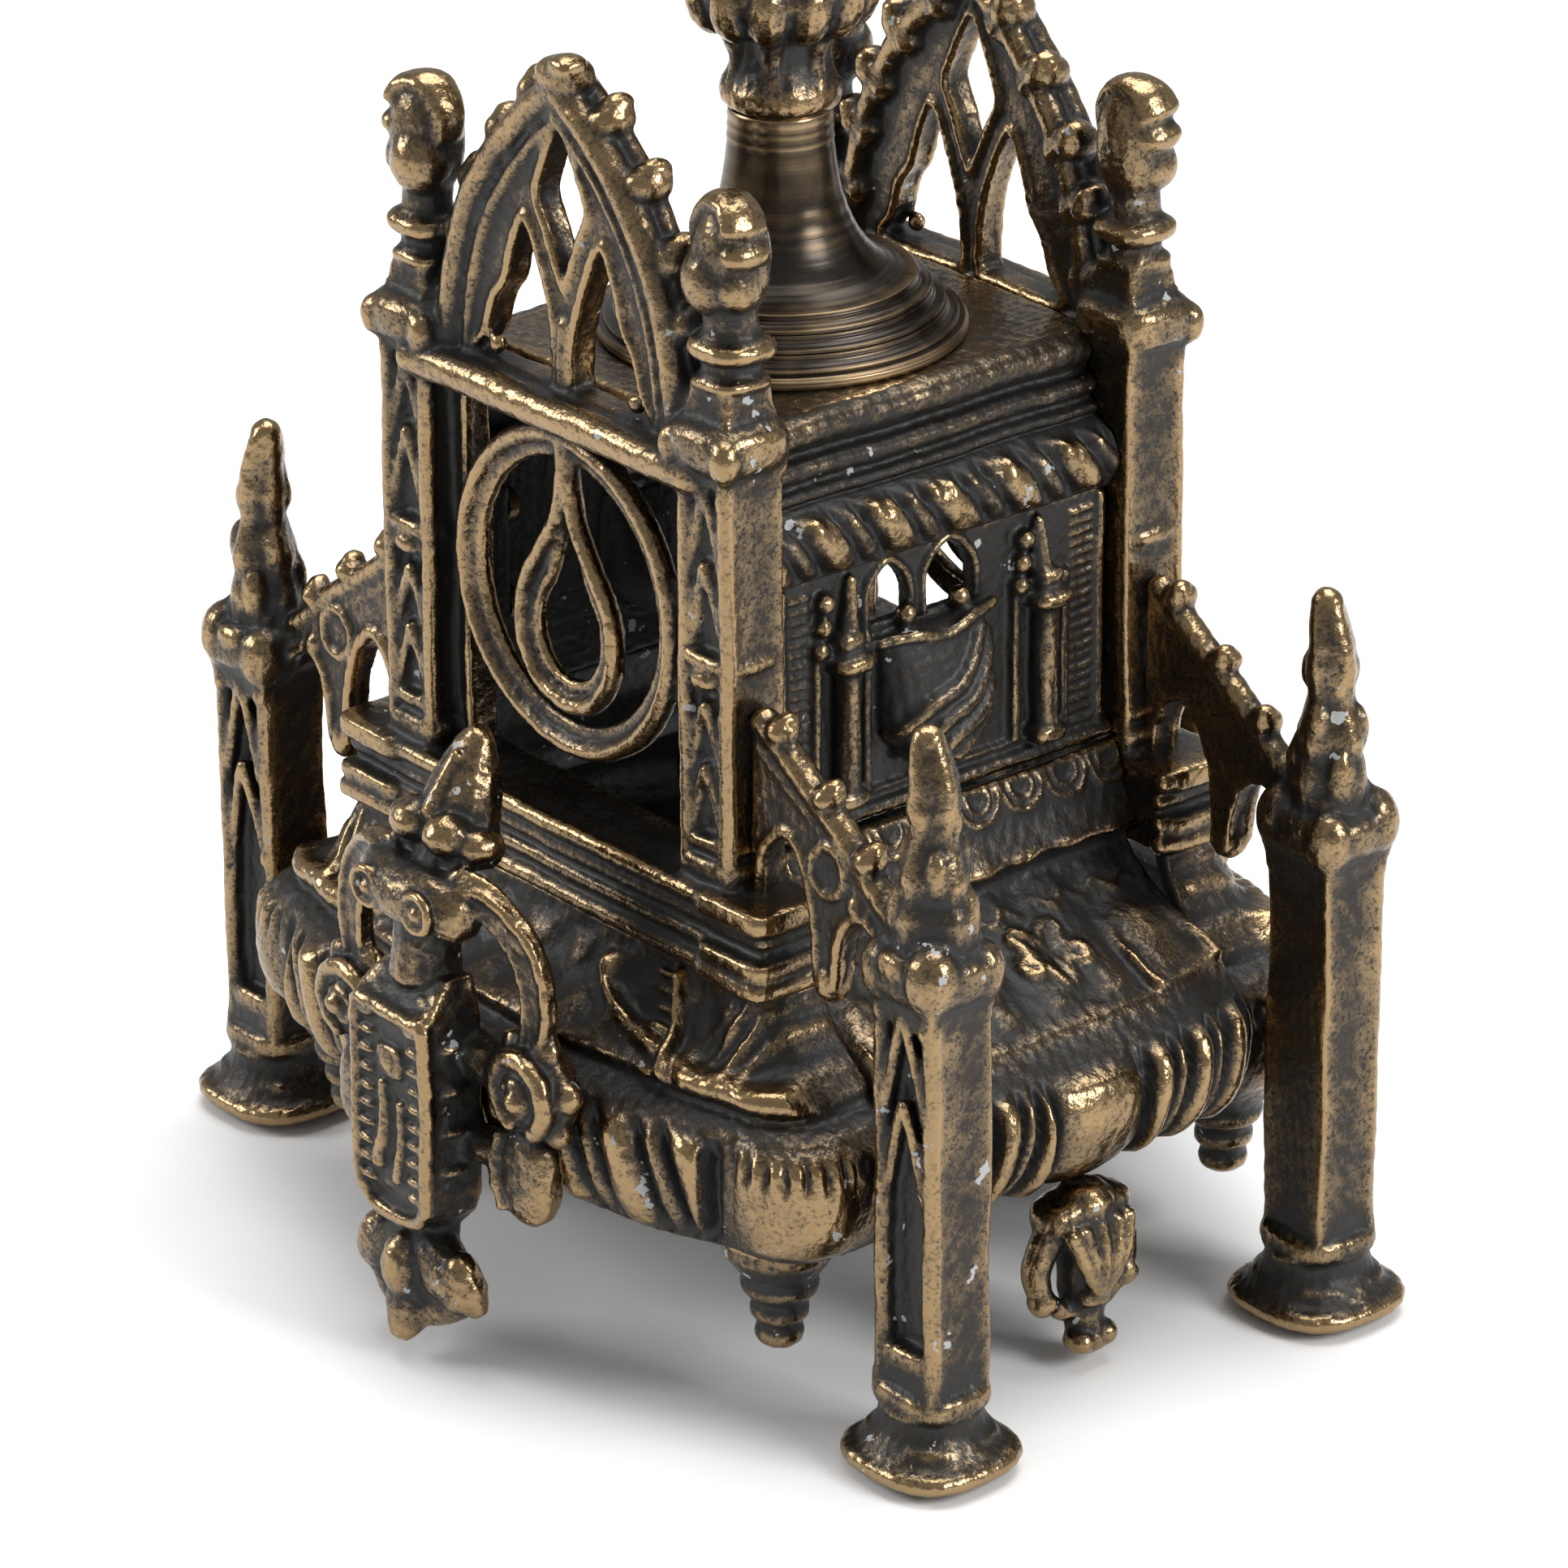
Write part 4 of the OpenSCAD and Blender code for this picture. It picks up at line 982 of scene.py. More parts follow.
def skirt_relief(u, v, s, z, p):
    """Relief of the side skirts: gadroons, scales, leaves and corner tongues."""
    x, y = p[..., 0], p[..., 1]
    way = np.abs(u)
    # rim: a broad plain lobe in the middle, oblique lobes beyond
    phase = way * 4.1 - 0.030 * (z - 30) * np.sign(u) + 0.02
    lobe = gadroons(phase) * np.clip((way - 0.25) * 22, 0, 1)
    middle = bump(u, -0.25, 0.25) ** 0.6
    h = rim_zone(z, 40.0) * (3.1 * np.maximum(lobe, middle) - 1.8)
    # scales hanging in the cove
    t = ((y / 7.0) % 1.0 - 0.5) * 7.0
    ring = np.sqrt(t**2 + ((z - 65.0) * 1.05) ** 2)
    cove = np.clip((z - 58.4) / 0.8, 0, 1) * np.clip((65.8 - z) / 0.6, 0, 1)
    h += cove * (0.75 * ridge(ring, 3.1, 0.45) + 0.6 * ridge(ring, 1.8, 0.4))
    h += 0.7 * ridge(z, 57.0, 0.8) * (1 + 0.35 * np.sin(y * 0.9)) + 0.8 * ridge(z, 66.0, 0.5)
    # leaves on the slope: pointed ones towards the middle, a plain raised tongue near each corner
    slope = np.clip((z - 43.8) / 0.8, 0, 1) * np.clip((54.0 - z) / 1.0, 0, 1)
    for cy, size in ((-6.5, 4.6), (5.5, 6.2)):
        dy, dx = y - cy, (x - 43.0) * 1.1
        a = np.arctan2(dy, dx)
        r = np.hypot(dy, dx)
        edge = size * (0.58 + 0.42 * np.abs(np.cos(2.5 * a)) ** 0.8)
        inside = np.clip((edge - r) / 0.7, 0, 1)
        h += slope * inside * (0.75 - 0.5 * ridge(np.abs(np.sin(2.5 * a)) * r, 0.0, 0.45))
    # an engraved wave along the foot of the cove
    h += slope * 0.5 * ridge(x, 37.0 + 0.7 * np.sin(y * 1.3), 0.5)
    tongue = 1.2 - ((np.abs(way * 26 - 19.6) / 5.4) ** 4 + (np.abs(x - 47.0) / 6.4) ** 4) ** 0.25
    h += (
        0.5 * np.clip(tongue * 4, 0, 1) + 0.9 * ridge(tongue, 0.20, 0.10) * np.clip((x - 44) / 3, 0, 1)
    ) * np.clip((z - 42.6) / 0.8, 0, 1)
    h += 0.25 * np.sin(y * 0.7) * slope
    h += 0.5 * ridge(z, 42.8, 0.8)
    return h


CORNICE_OUT = [
    22.6, 24.2, 25.6, 26.3, 26.2, 25.5, 24.9, 25.3, 26.4, 27.1, 26.9, 26.1, 26.3, 27.3, 27.5, 27.1, 28.4, 30.6,
    31.4, 30.8, 29.9, 29.6
]
CORNICE_Z = [
    117.5, 117.5, 116.9, 115.8, 114.6, 113.7, 113.2, 112.6, 112.3, 111.5, 110.5, 109.9, 109.3, 108.9, 108.2,
    107.6, 107.0, 105.6, 103.2, 100.8, 99.6, 99.0
]


def cornice_relief(u, v, s, z, p):
    """The rope on the cornice roll."""
    y = p[..., 1]
    roll = np.clip((z - 99.4) / 1.2, 0, 1) * np.clip((107.2 - z) / 1.2, 0, 1)
    rope = gadroons((y + 0.62 * (z - 103)) / 9.8 + 0.15)
    nick = 0.25 * np.sin(y * 2.1) * ridge(z, 105.6, 0.8)
    return roll * (1.9 * rope - 1.2 + nick)


def panel_mesh():
    """A side wall: two pierced lights over a draped pot, engaged columns in niches and hatched margins."""
    c = Clay()
    x0, x1 = 27.6, 29.2

    def light_at(y, z, w, h):
        return [
            (y - w, z), (y - w, z + 0.55 * h), (y - 0.6 * w, z + 0.85 * h), (y, z + h),
            (y + 0.6 * w, z + 0.82 * h), (y + w, z + 0.5 * h), (y + w, z)
        ]

    wall = Clay()
    lights = ((-8.4, 90.8, 3.0, 7.2), (1.2, 90.4, 3.6, 8.2))
    outline = [(-BOX_Y, LEDGE_Z), (BOX_Y, LEDGE_Z), (BOX_Y, 99.6), (-BOX_Y, 99.6)]
    wall.pierced(outline, [light_at(*place) for place in lights], -x1, -x0)
    c.merge(wall, Matrix.Rotation(math.pi / 2, 4, "Z"))
    for y, z, w, h in lights:
        line = [(x1 + 0.2, a, b) for a, b in light_at(y, z, w + 0.5, h + 0.6)]
        c.bend(line, 24, 0.62, 8, 1, (1, 0, 0))
    # the pot: swollen below, with a wavy lip and slanting folds
    yc, pot_low, pot_tall, pot_x = -2.0, 72.6, 16.0, x1 - 0.4

    def pot_size(z):
        f = (z - pot_low) / pot_tall
        half = 8.4 * (1 - (1 - min(1, max(0, f) / 0.42)) ** 2.2 * 0.55)
        return 4.6 + 6.4 * math.sin(math.pi * min(1, 0.22 + 0.66 * f)), half

    for z in np.linspace(pot_low, pot_low + pot_tall, 26):
        depth, half = pot_size(z)
        c.cushion((pot_x, yc, z), (depth, 2 * half, 1.7), 2.3)
    for y0, z0, y1, z1 in (
        (-9.4, 76.4, 4.0, 88.0), (-7.4, 73.6, 6.2, 86.2), (-4.4, 72.4, 6.4, 82.0), (-0.6, 72.2, 6.0, 78.2)
    ):
        fold = []
        for f in np.linspace(0, 1, 16):
            y, z = y0 + (y1 - y0) * f, z0 + (z1 - z0) * (
                f + 0.10 * math.sin(2 * math.pi * f) - 0.08 * math.sin(math.pi * f)
            )
            depth, half = pot_size(z)
            fold.append((pot_x + 0.5 * depth * max(0, 1 - abs((y - yc) / half) ** 2.3) ** (1 / 2.3), y, z))
        c.tube(fold, 1.15, 8, 0.8, (1, 0, 0))
    c.bend(
        [
            (x1 + 1.0, yc - 8.6, 88.6), (x1 + 2.8, yc - 4, 88.9), (x1 + 3.0, yc, 88.0),
            (x1 + 2.8, yc + 4.5, 89.2), (x1 + 1.4, yc + 9.0, 89.6)
        ],
        20, 0.85, 8, 1, (1, 0, 0)
    )
    for y in (-6.0, 2.4):
        c.ball((x1 + 0.8, y, 91.0), 1.4, (1, 1, 1.2))
    for s in (-1, 1):
        y = 15.6 * s
        c.tube([(x1 + 1.4, y, 70), (x1 + 1.4, y, 88)], 1.75, 12)
        c.cushion((x1 + 1.4, y, 70.4), (4.4, 5.2, 2.6), 3)
        c.cushion((x1 + 1.8, y, 88.0), (5.2, 6.4, 2.8), 2.6)
        c.cushion((x1 + 1.2, y, 90.6), (3.8, 4.2, 2.4), 3)
        c.tube([(x1 + 1.0, y - s * 0.4, 90), (x1 + 0.8, y - s * 0.9, 98.0)], [1.6, 0.8], 10)
        for k in range(3):
            c.ball((x1 + 0.8, y - 3.8 + 0.4 * k, 90.0 + 2.9 * k), 1.35)
        # niche edges and the hatched margin
        for dy in (-4.2, 3.6):
            c.tube([(x1 + 0.5, y + dy, 70), (x1 + 0.5, y + dy, 90)], 0.8, 8)
        c.tube([(x1 + 0.3, s * 25.0, 68.4), (x1 + 0.3, s * 25.0, 98.6)], 0.75, 8)
        for k in range(21):
            z = 69.6 + 1.36 * k
            c.tube([(x1 + 0.1, s * 20.6, z), (x1 + 0.1, s * 24.0, z + 0.25)], 0.50, 6)
    c.tube([(x1 + 0.7, -BOX_Y, 67.6), (x1 + 0.7, BOX_Y, 67.6)], 1.1, 8, 1, (1, 0, 0))
    c.tube([(x1 + 0.3, -BOX_Y, 69.6), (x1 + 0.3, BOX_Y, 69.6)], 0.5, 8, 1, (1, 0, 0))
    for s in (-1, 1):
        c.block((23.2, 28.5), (s * (BOX_Y - 1.3) - 1.3, s * (BOX_Y - 1.3) + 1.3), (70, 96))
    return melt(c, "panel", voxel=0.34, steps=1, wobble=0.10, pit=0.06, seed=31, inside=inward)


def top_mesh():
    c = Clay()
    w, d = 24.4, 29.3
    outline = [
        (w - 3.2, -d), (w, -d + 3.2), (w, d - 3.2), (w - 3.2, d), (-w + 3.2, d), (-w, d - 3.2), (-w, -d + 3.2),
        (-w + 3.2, -d)
    ]
    levels = ((PLATE_Z - 2.55, 0.985), (PLATE_Z - 1.9, 1.0), (PLATE_Z - 0.7, 1.0), (PLATE_Z - 0.05, 0.972))
    c.rings([np.array([(x * k, y * k, z) for x, y in outline]) for z, k in levels])
    return melt(c, "top_plate", voxel=0.45, steps=2, wobble=0.10, pit=0.07, seed=41)


# ---------------------------------------------------------------- ornaments


def shield_mesh():
    """The hanging ornament: toothed box, visor and hood over it, mantling and tassel."""
    c = Clay()
    f = -RIM_Y - 0.4
    # box with a roofed top, toothed borders and a rounded foot
    c.rings(
        [
            np.array(
                [(sx * w, f - 1.4 - (d if sy < 0 else 0), z) for sx, sy in ((-1, -1), (1, -1), (1, 1), (-1, 1))]
            )
            for z, w, d in (
                (17.4, 3.2, 5.0), (19.6, 5.6, 7.4), (23.0, 7.0, 8.2), (46.0, 7.4, 8.2), (48.0, 7.2, 7.6),
                (51.4, 5.8, 4.2)
            )
        ]
    )
    face = f - 9.7
    for s in (-1, 1):
        c.tube([(s * 6.5, face, 22), (s * 6.7, face, 46.4)], 1.05, 8)
        for k in range(10):
            c.ball((s * 4.7, face - 0.1, 23.4 + 2.45 * k), 1.0, (1.7, 0.8, 0.62))
        for k in range(4):
            c.ball((s * 7.4, face + 4.0, 27 + 5.4 * k), 0.9, (0.8, 2.2, 0.8))
    c.tube([(-6.4, face, 46.6), (6.4, face, 46.6)], 1.05, 8)
    c.bend(
        [(-6.5, face, 22.4), (-3.6, face + 0.4, 19.4), (3.6, face + 0.4, 19.4), (6.5, face, 22.4)], 14, 1.0, 8
    )
    c.cushion((0.2, face - 0.2, 40.6), (4.8, 1.5, 4.2), 5)
    c.cushion((0.2, face - 0.6, 40.6), (2.4, 1.5, 2.0), 5)
    c.bend([(-1.6, face, 37.4), (-1.2, face, 31), (-2.4, face, 26.0)], 12, (0.9, 1.4), 8)
    c.bend([(2.0, face, 35.6), (2.2, face, 30), (1.0, face, 24.6)], 12, 0.95, 8)
    # stalk, visor roll with an incised eye each side, belt of bosses, pointed hood
    c.bend([(0, f - 4.4, 50), (0, f - 4.0, 54), (0, f - 3.0, 60), (0, f + 1.0, 67)], 16, (4.6, 3.8), 12)
    c.bend(
        [
            (-7.6, f - 3.4, 60.4), (-4, f - 5.4, 61.2), (0, f - 6.0, 61.2), (4, f - 5.4, 61.2),
            (7.6, f - 3.4, 60.4)
        ],
        20, 3.9, 14
    )
    for s in (-1, 1):
        c.tube(arc(s * 4.8, 61.3, 2.3, 0, 360, f - 9.0, 20), 0.7, 8)
        c.ball((s * 4.8, f - 8.9, 61.3), 1.0)
        c.ball((s * 3.2, f - 2.8, 68.8), 3.0, (1.05, 1.1, 0.85))
        c.ball((s * 6.8, f - 0.6, 67.8), 2.3, (1, 1.2, 0.9))
    c.tube([(-5.6, f - 1.6, 65.6), (5.6, f - 1.6, 65.6)], 1.7, 10)
    hood = curve([(0, f + 0.6, 66.4), (0, f + 2.2, 72), (0, f + 3.6, 76), (0.3, f + 4.4, 79.0)], 16)
    c.tube(hood, [5.4, 5.5, 5.5, 5.4, 5.2, 5.0, 4.7, 4.4, 4.1, 3.8, 3.5, 3.2, 2.9, 2.6, 2.3, 1.9], 12, 0.9)
    c.tube([(0.2, f - 3.4, 70.6), (0.3, f + 1.0, 77.4)], [1.3, 0.8], 8)
    # mantling: a flat edged ribbon each side, a leafy scroll and a hanging leaf
    for s in (-1, 1):
        ribbon = curve(
            [
                (s * 6.0, f - 3.6, 63.4), (s * 10.8, f - 2.4, 62.4), (s * 15.8, f - 1.0, 57.6),
                (s * 17.8, f - 0.6, 51.2), (s * 16.8, f - 0.4, 44.6)
            ],
            28
        )
        c.tube(ribbon, np.linspace(2.9, 2.5, 28), 10, 0.50)
        for side in (-1, 1):
            c.tube(ribbon + np.array((side * s * 1.9, -1.0, side * 0.8)), 0.72, 8)
        mx, my, mz = s * 16.8, f - 0.4, 40.0
        c.ball((mx, my, mz), 6.2, (1, 0.62, 1))
        c.tube(arc(mx, mz, 4.6, -60, 250, my - 3.0, 26), 1.35, 8)
        c.tube(arc(mx, mz, 2.0, -100, 160, my - 3.8, 18), 0.8, 8)
        for k in range(6):
            a = math.radians(60 * k + 10)
            c.ball((mx + 5.8 * math.cos(a), my - 0.4, mz + 5.8 * math.sin(a)), 2.1, (1, 0.8, 1))
        c.ball((mx + 0.6 * s, my - 4.0, mz), 1.7)
        c.cushion((s * 15.6, my - 0.8, 28.2), (9.6, 5.4, 12.6), 2.6)
        c.bend([(s * 12.0, my - 2.6, 33), (s * 11.6, my - 3.0, 28), (s * 13.0, my - 2.8, 23.6)], 12, 0.9, 8)
        c.tube([(s * 12.6, f - 1.4, 30), (s * 5, f - 3, 30)], 2.6, 8)
        c.tube([(s * 12.6, f - 1.6, 40), (s * 6, f - 2.4, 42)], 2.8, 8)
    # hanging tassel: a webbed leaf with two side lobes and a tip that curls forward
    c.bend(
        [(0, f - 4.6, 19.4), (0, f - 4.8, 15.4), (0, f - 5.4, 11.4), (0, f - 7.2, 7.4), (0, f - 9.4, 3.7)], 20,
        np.interp(np.arange(20), (0, 6, 11, 16, 19), (4.4, 4.2, 4.8, 3.5, 2.1)), 12, 0.85
    )
    for s in (-1, 1):
        c.bend(
            [
                (s * 1.0, f - 5.4, 14.4), (s * 4.8, f - 5.8, 12.6), (s * 8.4, f - 5.8, 11.2),
                (s * 10.4, f - 5.6, 9.4)
            ],
            14, np.interp(np.arange(14), (0, 6, 10, 13), (4.0, 3.6, 2.9, 1.5)), 12, 0.9
        )
        c.ball((s * 8.2, f - 6.0, 12.4), 2.6, (1, 1, 1.5))
        c.bend([(s * 7.0, f - 5.6, 9.4), (s * 3.6, f - 6.6, 7.4), (0, f - 7.6, 6.4)], 10, 2.3, 10)
    c.ball((0, f - 8.6, 12.6), 2.9, (1, 1, 1.5))
    c.tube([(0, f - 3, 34), (0, f + 3.2, 34)], 2.4, 10)
    c.tube([(0, f - 1, 65), (0, f + 6, 63.6)], 2.6, 10)
    off_centre = Clay()
    off_centre.merge(c, Matrix.Translation((2.4, 0, 0)))
    return melt(off_centre, "shield", voxel=0.36, steps=2, wobble=0.28, pit=0.08, seed=51)


def pendant_mesh():
    """The leafy bracket under the middle of each side rim."""
    c = Clay()
    x = RIM_X - 3.4
    c.cushion((x - 0.4, 0, 20.2), (7.6, 13.4, 5.2), 3)
    c.bend([(x, 0, 22), (x + 0.4, 0, 16), (x, 0, 10), (x + 0.8, 0, 5), (x + 2.4, 0, 2.8)], 20, (4.0, 1.9), 12)
    for k in range(5):
        a = math.radians(-60 + 30 * k)
        c.bend(
            [
                (x + 3.2, 5.2 * math.sin(a), 19.5), (x + 4.4, 3.4 * math.sin(a), 15.0),
                (x + 3.6, 0.8 * math.sin(a), 10.6)
            ],
            12, (1.15, 0.7), 8
        )
    for s in (-1, 1):
        c.bend([(x, s * 4.8, 19), (x - 0.4, s * 6.8, 14.5), (x, s * 6.6, 11.4)], 12, (2.2, 1.7), 10)
        c.ball((x + 0.4, s * 6.4, 10.0), 1.9)
        c.bend([(x + 0.4, s * 5.6, 10.0), (x + 0.6, s * 3.2, 7.8), (x + 0.9, 0, 8.2)], 12, 1.25, 8)
        c.ball((x + 1.8, s * 1.9, 3.8), 1.9, (1.2, 0.9, 0.9))
    c.cushion((x + 1.2, 0, 9.8), (5.4, 4.6, 3.0), 3)
    return melt(c, "pendant", voxel=0.34, steps=2, wobble=0.20, pit=0.06, seed=61)


def drop_mesh():
    """The ringed drop under a corner of the rim."""
    c = Clay()
    c.lathe(
        [
            (7.4, 24.4), (7.0, 22.0), (5.8, 20.2), (4.9, 19.0), (4.7, 18.2), (4.9, 17.4), (4.6, 16.4),
            (3.7, 15.7), (3.4, 15.0), (3.7, 14.2), (3.6, 13.2), (2.9, 12.5), (2.8, 11.8), (3.1, 10.8),
            (2.8, 9.8), (1.8, 9.0), (0.5, 8.8)
        ][::-1],
        42, -36
    )
    return melt(c, "drop", voxel=0.34, steps=1, wobble=0.12, pit=0.05, seed=71)


# ---------------------------------------------------------------- turned stem


def turned_mesh(name, profile, base, sides=96, steps=4, rings=None):
    """A turned piece from (radius, height above base) pairs, each span cut into steps.
    rings gives the depth of its tool marks, in millimetres, for a height."""
    p = np.asarray(profile, float) + (0, base)
    t = np.concatenate(
        [np.linspace(i, i + 1, steps, endpoint=False) for i in range(len(p) - 1)] + [[len(p) - 1]]
    )
    r = np.interp(t, np.arange(len(p)), p[:, 0])
    z = np.interp(t, np.arange(len(p)), p[:, 1])
    a = np.linspace(0, 2 * math.pi, sides, endpoint=False)
    rr = np.repeat(r[:, None], sides, 1)
    zz = np.repeat(z[:, None], sides, 1)
    aa = np.repeat(a[None], len(r), 0)
    if rings:
        rr = rr + rings(zz)
    points = np.stack([rr * np.cos(aa), rr * np.sin(aa), zz], -1).reshape(-1, 3)
    c = Clay()
    c.rings([points[i * sides : (i + 1) * sides] for i in range(len(r))])
    me = c.mesh(name)
    mark_wear(me)
    smooth_shade(me)
    return me


def flange_mesh():
    """Three stepped rings and a concave flare up to the neck."""
    edge = FLANGE_R
    p = [(5.0, 0), (edge - 0.3, 0), (edge, 0.35), (edge, 1.1), (edge - 0.4, 1.5), (edge - 1.3, 1.6)]
    step = [(0.05, 0), (0, 0.2), (0, 0.5), (0.3, 0.62), (0.75, 0.72), (1.15, 0.95), (1.45, 1.35), (1.55, 1.84)]
    for k in range(3):
        p += [(edge - 1.1 - 1.7 * k - r, 1.6 + 1.85 * k + z) for r, z in step]
    foot = 7.3
    for a in np.radians(np.linspace(0, 90, 15)):
        flare = (edge - NECK_R - 6.2) * (1 - math.sin(a)) ** 1.15
        p.append((NECK_R + flare, foot + (FLANGE_H - foot) * (1 - math.cos(a))))
    p += [(NECK_R - 0.2, FLANGE_H - 0.02), (4.0, FLANGE_H - 0.02)]

    def tool_marks(z):
        return 0.07 * np.sin(z * 9) * (z > CUP_Z - 5) + 0.03 * np.sin(z * 14)

    return turned_mesh("stem_flange", p, PLATE_Z, 128, 5, tool_marks)


def lower_knop_mesh():
    """A leafy bud between two narrow necks, fluted below and scalloped under its widest part."""
    c = Clay()
    profile = [
        (6.2, 0.05), (7.1, 0.7), (7.5, 1.8), (7.3, 3.0), (6.5, 4.2), (5.9, 5.6), (5.6, 7.2), (5.9, 9.0),
        (7.2, 10.8), (9.2, 12.2), (10.6, 13.6), (11.0, 15.4), (10.6, 17.4), (9.0, 19.2), (7.0, 20.8),
        (5.8, 22.4), (5.6, 24), (6.2, 26.4), (7.2, 28.3)
    ]
    c.lathe(profile, base=CUP_Z, sides=48)
    for k in range(6):
        at, out = spoke(60 * k + 12, CUP_Z)
        c.bend([at(6.4, 2.6), at(5.4, 6.6), at(7.0, 11.0)], 12, (1.1, 1.8), 10, 0.8, out)
        for turn in (0, 30):
            lip, _ = spoke(60 * k + 12 + turn, CUP_Z)
            swell = [1.2, 1.7, 2.1, 2.4, 2.6, 2.7, 2.7, 2.7, 2.6, 2.5, 2.3, 2.1, 1.8, 1.4]
            c.bend([lip(6.6, 10.4), lip(8.6, 12.6), lip(9.4, 15.4), lip(8.6, 18.2)], 14, swell, 10)
        c.bend([at(6.8, 20), at(5.6, 24), at(7.0, 27.6)], 10, 1.0, 8)
    return melt(c, "lower_knop", voxel=0.34, steps=2, wobble=0.22, pit=0.07, seed=81)


def shaft_mesh():
    """Six-sided gothic shaft: corner buttresses with knobs, and a lancet in each face."""
    c = Clay()
    tall = SHAFT_TOP - SHAFT_Z
    for z0, z1, r in (
        (0.1, 1.6, 9.8), (1.4, 4, 8.6), (tall - 4, tall - 1.4, 8.6), (tall - 1.6, tall - 0.1, 9.8)
    ):
        c.lathe([(r, z0), (r, z1)], base=SHAFT_Z, sides=6)
    c.lathe([(6.6, 1), (6.6, tall - 1)], base=SHAFT_Z, sides=24)
    for k in range(6):
        at, _ = spoke(60 * k, SHAFT_Z)
        c.tube([at(7.6, 2), at(7.6, tall - 5)], 1.15, 8)
        for h, r in ((6, 1.7), (20, 1.5), (tall - 8, 1.8)):
            c.ball(at(7.9, h), r, (1, 1, 0.8))
        at, out = spoke(60 * k + 30, SHAFT_Z)
        for s in (-1, 1):
            lancet = [
                at(6.7, 5, s * 2.0), at(6.7, tall - 14, s * 2.0), at(6.8, tall - 9.5, s * 1.2),
                at(6.9, tall - 7)
            ]
            c.bend(lancet, 14, 0.62, 8, 1, out)
        c.tube([at(6.7, 6), at(6.7, tall - 16)], 0.5, 8, 1, out)
    return melt(c, "gothic_shaft", voxel=0.36, steps=1, wobble=0.10, pit=0.05, seed=91)


def main_knop_mesh():
    """The melon knop: gadroons of two widths above and below a plain belt."""
    c = Clay()
    half = [(18.8, 0), (18.4, 6), (16.6, 9.4), (12.4, 12.6), (9.2, 14.6), (9.2, 16), (8.0, 16.9)]
    c.lathe([(r, -z) for r, z in half[:0:-1]] + half, base=KNOP_MIDDLE, sides=64)
    for k in range(12):
        at, out = spoke(30 * k, KNOP_MIDDLE)
        wide = 2.0 if k % 2 else 2.9
        for s in (-1, 1):
            c.bend(
                [at(8.8, s * 14.2), at(13.4, s * 12.2), at(17.6, s * 8.6), at(19.4, s * 4.6)], 16, (0.9, wide),
                10, 0.8, out
            )
    c.lathe([(19.2, -2.6), (19.9, -1.8), (19.9, 1.8), (19.2, 2.6)], base=KNOP_MIDDLE, sides=64)
    return melt(c, "main_knop", voxel=0.42, steps=2, wobble=0.14, pit=0.05, seed=101)


def bosses_mesh():
    """Lozenges with a round face and a quatrefoil, one on each side of the knop."""
    c = Clay()
    for k in range(6):
        at, out = spoke(60 * k + 30, KNOP_MIDDLE)
        for r0, r1, w in ((19.2, 21.2, 5.6), (21.0, 22.2, 4.8)):
            c.rings(
                [
                    np.array([at(r, w * v, w * u) for u, v in ((1, 0), (0, 1), (-1, 0), (0, -1))])
                    for r in (r0, r1)
                ]
            )
        ring = [at(22.2, 2.9 * math.sin(t), 2.9 * math.cos(t)) for t in np.linspace(0, 2 * math.pi, 21)]
        c.tube(ring, 0.55, 8, 1, out)
        for t in range(4):
            c.ball(at(22.4, 1.35 * math.sin(t * math.pi / 2), 1.35 * math.cos(t * math.pi / 2)), 1.15)
        c.ball(at(22.9, 0), 0.9)
    return melt(c, "knop_bosses", voxel=0.30, steps=1, wobble=0.05, pit=0.03, seed=111)


def collar_mesh():
    roll = [
        (7.8, 0), (9.6, 0.4), (11.2, 1.2), (11.8, 2.0), (11.6, 2.9), (10.6, 3.6), (10.3, 4.1), (11.0, 4.7),
        (10.9, 5.4)
    ]
    return turned_mesh("stem_collar", [(5, 0), *roll, (10.2, 5.98), (5, 5.98)], COLLAR_Z)


def upper_shaft_mesh():
    waist = [
        (8.9, 0.8), (8.8, 1.7), (7.6, 2.6), (6.6, 4.0), (5.8, 6.6), (5.6, 9), (5.7, 12), (6.4, 14.0),
        (8.2, 15.2), (8.6, 16.2)
    ]
    return turned_mesh("upper_shaft", [(5, 0.02), (8, 0.02), *waist, (8.4, 17.98), (5, 17.98)], UPPER_Z)


def recast(node, voxel, steps, wobble, pit, seed=7, extra=None):
    """A softened casting of a CAD node's own shape, with any clay laid on it."""
    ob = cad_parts[node]
    p, _, _ = read(ob.data)
    c = Clay()
    c.add(p, [tuple(f.vertices) for f in ob.data.polygons])
    if extra is not None:
        c.merge(extra)
    return melt(c, node, voxel, steps, wobble, pit, seed)


def socket_mesh():
    """The cup below the head and its fork, with leaves up the cup and a rib along the fork."""
    c = Clay()
    z = SOCKET_Z
    for k in range(8):
        at, out = spoke(45 * k + 22.5, z)
        c.bend([at(8.4, 6), at(8.6, 11), at(10.8, 15.6), at(11.0, 18.4)], 14, (0.8, 1.6), 8, 0.6, out)
    for s in (-1, 1):
        for y in (-3.9, 3.9):
            c.bend([(s * 10.2, y, z + 20), (s * 12.4, y, z + 27), (s * 15.4, y, z + 38)], 12, 0.8, 8)
    for y in (-3.9, 3.9):
        out = math.copysign(0.5, y)
        for s in (-1, 1):
            c.bend(
                [(s * 1.0, y + out, z + 22.4), (s * 5.2, y + out, z + 24.6), (s * 7.0, y + out, z + 29.4)], 12,
                0.6, 8
            )
            c.tube(arc(s * 5.0, z + 32.6, 1.9, 90 - s * 90, 90 + s * 190, y + out, 18), 0.55, 8)
        c.ball((0, y + out, z + 23.4), 1.1)
    return recast("head_socket", voxel=0.36, steps=1, wobble=0.06, pit=0.04, seed=121, extra=c)


